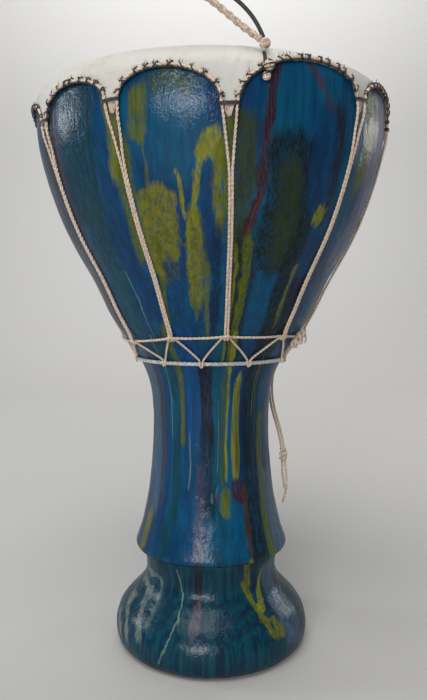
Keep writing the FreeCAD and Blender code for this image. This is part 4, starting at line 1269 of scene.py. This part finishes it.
HITCH_ANGLE = 118.0
HITCH_CENTRE = Vector((52.3725, 27.8469, 224.5495))
TAIL_START = Vector((52.3725, 27.8469, 219.8495))
TAIL_ROUTE = [
    (0.0, 0.0, 0.0), (-1.4, 1.0, -9.0), (-3.0, 2.2, -23.0), (-1.4, 0.2, -39.0), (3.6, -4.8, -56.0),
    (7.0, -7.6, -71.0), (7.6, -8.0, -85.0),
]
LONG_END = [(8.8, -8.2, -93.0), (9.6, -8.6, -102.5), (8.0, -9.0, -112.0), (6.0, -9.2, -118.0)]
SHORT_END = [(7.8, -7.0, -93.0), (9.0, -6.4, -101.0), (9.8, -6.4, -107.0)]
TAIL_DIAMETER = 2.0
TAIL_GROWTH = 1.06
TAIL_GAP = 0.2
HALF_PAIR = (TAIL_DIAMETER + TAIL_GAP) / 2


HITCH_SIZES = (2.4, 2.2)
HITCH_THICKNESS = 0.85
TAIL_KNOT_PLACE = Vector((7.3, -7.8, -78.5))
TAIL_KNOT_TURNS = 5
TAIL_KNOT_HEIGHT = 10.0
TAIL_KNOT_THICKNESS = 1.15


def make_tail():
    """A hitch on the lower ring, two strands that hang from it, and the knot that holds them together."""
    hitch = HITCH_CENTRE * MM
    out = outward(HITCH_ANGLE)
    knots = [(hitch, out, HITCH_SIZES[0]), (hitch, leaning(out, 0, 1), HITCH_SIZES[1])]
    knot_piece("tail_hitch_turns", knots, HITCH_THICKNESS, "natural_twine", "drum", "tail_hitch")
    centre = (TAIL_START + TAIL_KNOT_PLACE) * MM
    turns = []
    for step in range(TAIL_KNOT_TURNS * 12 + 1):
        turn = math.tau * step / 12
        share = step / (TAIL_KNOT_TURNS * 12.0)
        reach = 1.5 + 1.0 * math.sin(math.pi * step / 60.0)
        rise = (share - 0.5) * TAIL_KNOT_HEIGHT + 0.9 * math.sin(turn * 0.5)
        turns.append(centre + Vector((math.cos(turn) * reach, math.sin(turn) * reach, rise)) * MM)
    line = even_line(spline_line(turns), 0.6 * MM)
    mesh = strands_mesh("tail_knot_turns", [line], TAIL_KNOT_THICKNESS * MM, 2)
    knot = finish_piece("tail_knot_turns", mesh, "natural_twine", "cord_tail", "tail_knot")
    for name, end, sideways, length in (
        ("tail_strand_a", LONG_END, HALF_PAIR, 0.1209),
        ("tail_strand_b", SHORT_END, -HALF_PAIR, 0.1095),
    ):
        points = [(TAIL_START + Vector(step) + Vector((sideways, 0, 0))) * MM for step in TAIL_ROUTE + end]
        line = spline_line(points)
        mesh = laid_cord("twine_" + name, [line], TAIL_DIAMETER * TAIL_GROWTH, LACING_PITCH)
        piece = finish_piece("twine_" + name, mesh, "natural_twine", "cord_tail", name)


make_tail()

# ---------------------------------------------------------------- carry loop and rim tie

LOOP_ANGLE = 14.3
LOOP_BASE = Vector((31.7645, -124.6171, 420.1018))
ROPE_DIAMETER = 4.0
ROPE_GROWTH = 1.1
ROPE_PITCH = 11.0
LOOP_CORD_DIAMETER = 2.5
# Steps from the loop's base: along the rim, outwards and up.
ROPE_ROUTE = [
    (-2.6, 0.0, 1.8), (-12.0, -1.0, 7.5), (-23.0, -2.0, 16.0), (-35.5, -3.0, 24.5), (-46.5, -3.5, 29.5),
]
LOOP_CORD_ROUTE = [
    (-0.8, 0.0, 3.0), (-4.5, 0.5, 10.5), (-13.5, 0.5, 20.0), (-26.0, -0.5, 28.0), (-38.5, -2.0, 32.8),
    (-46.0, -3.2, 33.8),
]
LOOP_END = (-49.0, -3.5, 31.8)
BASE_KNOT_SIZES = (3.2, 3.0)
BASE_KNOT_THICKNESS = 0.95
END_KNOT_SIZES = (4.6, 4.2)
END_KNOT_THICKNESS = 1.1


def from_base(steps):
    across = along(LOOP_ANGLE)
    out = outward(LOOP_ANGLE)
    return [(LOOP_BASE + across * a + out * b + Vector((0, 0, c))) * MM for a, b, c in steps]


def make_carry_loop():
    """A rope and a black cord that run side by side between two knots."""
    base = LOOP_BASE * MM
    facing = leaning(outward(LOOP_ANGLE), 0, 0.5)
    knots = [(base, facing, BASE_KNOT_SIZES[0]), (base, leaning(facing, 0.9, 0.5), BASE_KNOT_SIZES[1])]
    base_knot = knot_piece(
        "base_knot_turns", knots, BASE_KNOT_THICKNESS, "twisted_rope", "carry_loop", "carry_loop_base_knot"
    )
    end = from_base([LOOP_END])[0]
    knots = [(end, along(LOOP_ANGLE), END_KNOT_SIZES[0]), (end, facing, END_KNOT_SIZES[1])]
    end_knot = knot_piece(
        "end_knot_turns", knots, END_KNOT_THICKNESS, "twisted_rope", "carry_loop", "carry_loop_end_knot"
    )

    points = from_base(ROPE_ROUTE)
    line = spline_line(points)
    mesh = laid_cord("loop_rope", [line], ROPE_DIAMETER * ROPE_GROWTH, ROPE_PITCH, roundness=2)
    rope = finish_piece("loop_rope", mesh, "twisted_rope", "carry_loop", "carry_loop_rope")
    points = from_base(LOOP_CORD_ROUTE)
    line = spline_line(points)
    mesh = strands_mesh("loop_black_cord", [even_line(line, 1.0 * MM)], LOOP_CORD_DIAMETER * 0.5 * MM, 3)
    cord = finish_piece("loop_black_cord", mesh, "black_thread", "carry_loop", "carry_loop_cord")


RIM_THREAD_TILTS = (4, 13, 22, 30, 37)
RIM_THREAD_SPREAD = (-0.7, 0.0, 0.7)
RIM_THREAD_LEVEL = 0.45


def make_rim_tie():
    """Two small knots that hold the loop's base to the skin, with black thread round them and over the rim."""
    upper = on_shell(LOOP_ANGLE + 0.6, SHOULDER + 0.8, SKIN_LEVEL + 2.6)
    lower = on_shell(LOOP_ANGLE, SHOULDER - 5.1, SKIN_LEVEL + 2.2)
    out = outward(LOOP_ANGLE)
    across = along(LOOP_ANGLE)
    for name, centre, size, node in (
        ("rim_tie_knot_upper", upper, 2.9, "rim_tie_upper"),
        ("rim_tie_knot_lower", lower, 2.2, "rim_tie_lower"),
    ):
        knots = [(centre, out, size), (centre, leaning(out, 0.3, 0.8), size)]
        knot_piece(name, knots, 0.8, "natural_twine", "drum", node)
    lines = []
    reach = SKIN_ROUND + RIM_THREAD_LEVEL
    for side in RIM_THREAD_SPREAD:
        points = []
        for tilt in RIM_THREAD_TILTS:
            lean = math.radians(tilt)
            level = Vector((0, 0, SHOULDER + reach * math.sin(lean)))
            points.append((out * (ARC_RADIUS + reach * math.cos(lean)) + across * side + level) * MM)
        lines.append(spline_line(points))
    mesh = strands_mesh("rim_tie_threads", lines, 0.5 * MM, 1)
    finish_piece("rim_tie_threads", mesh, "black_thread", "drum", "rim_tie_thread")
    turns = []
    for centre, reach, tilt in ((upper, 3.3, -1.6), (upper, 3.2, 0.6), (lower, 2.7, 1.5)):
        middle = centre - out * 0.4 * MM
        turns.append([
            middle + (across * math.cos(turn) * reach + out * math.sin(turn) * (reach - 0.3)
                      + Vector((0, 0, tilt + math.cos(turn) * 0.8))) * MM
            for turn in (math.tau * step / 16 for step in range(16))
        ])
    mesh = strands_mesh("rim_tie_turns", turns, RUN_THREAD * MM, 1, closed=True)
    finish_piece("rim_tie_turns", mesh, "black_thread", "drum", "rim_tie_thread")


make_carry_loop()
make_rim_tie()

# ---------------------------------------------------------------- floor and backdrop


FLOOR_COLOUR = (0.47, 0.465, 0.455, 1.0)
FLOOR_REACH = 2.2
BACKDROP_HEIGHT = 2.5


def make_floor():
    """A pale floor that curves up into a backdrop behind the drum."""
    material, _, shader, _ = new_material("studio_floor")
    shader.inputs["Base Color"].default_value = FLOOR_COLOUR
    shader.inputs["Roughness"].default_value = 0.7
    sheet = bmesh.new()
    bmesh.ops.create_grid(sheet, x_segments=1, y_segments=1, size=FLOOR_REACH)
    back = [edge for edge in sheet.edges if all(v.co.y > 2.0 for v in edge.verts)]
    raised = bmesh.ops.extrude_edge_only(sheet, edges=back)["geom"]
    upper = [item for item in raised if isinstance(item, bmesh.types.BMVert)]
    bmesh.ops.translate(sheet, verts=upper, vec=(0, 0, BACKDROP_HEIGHT))
    bmesh.ops.bevel(sheet, geom=back, offset=0.9, segments=16, profile=0.5, affect="EDGES", material=-1)
    bmesh.ops.recalc_face_normals(sheet, faces=sheet.faces)
    mesh = bpy.data.meshes.new("floor")
    sheet.to_mesh(mesh)
    sheet.free()
    mesh.materials.append(material)
    mesh.shade_smooth()
    floor = bpy.data.objects.new("floor", mesh)
    scene.collection.objects.link(floor)


make_floor()
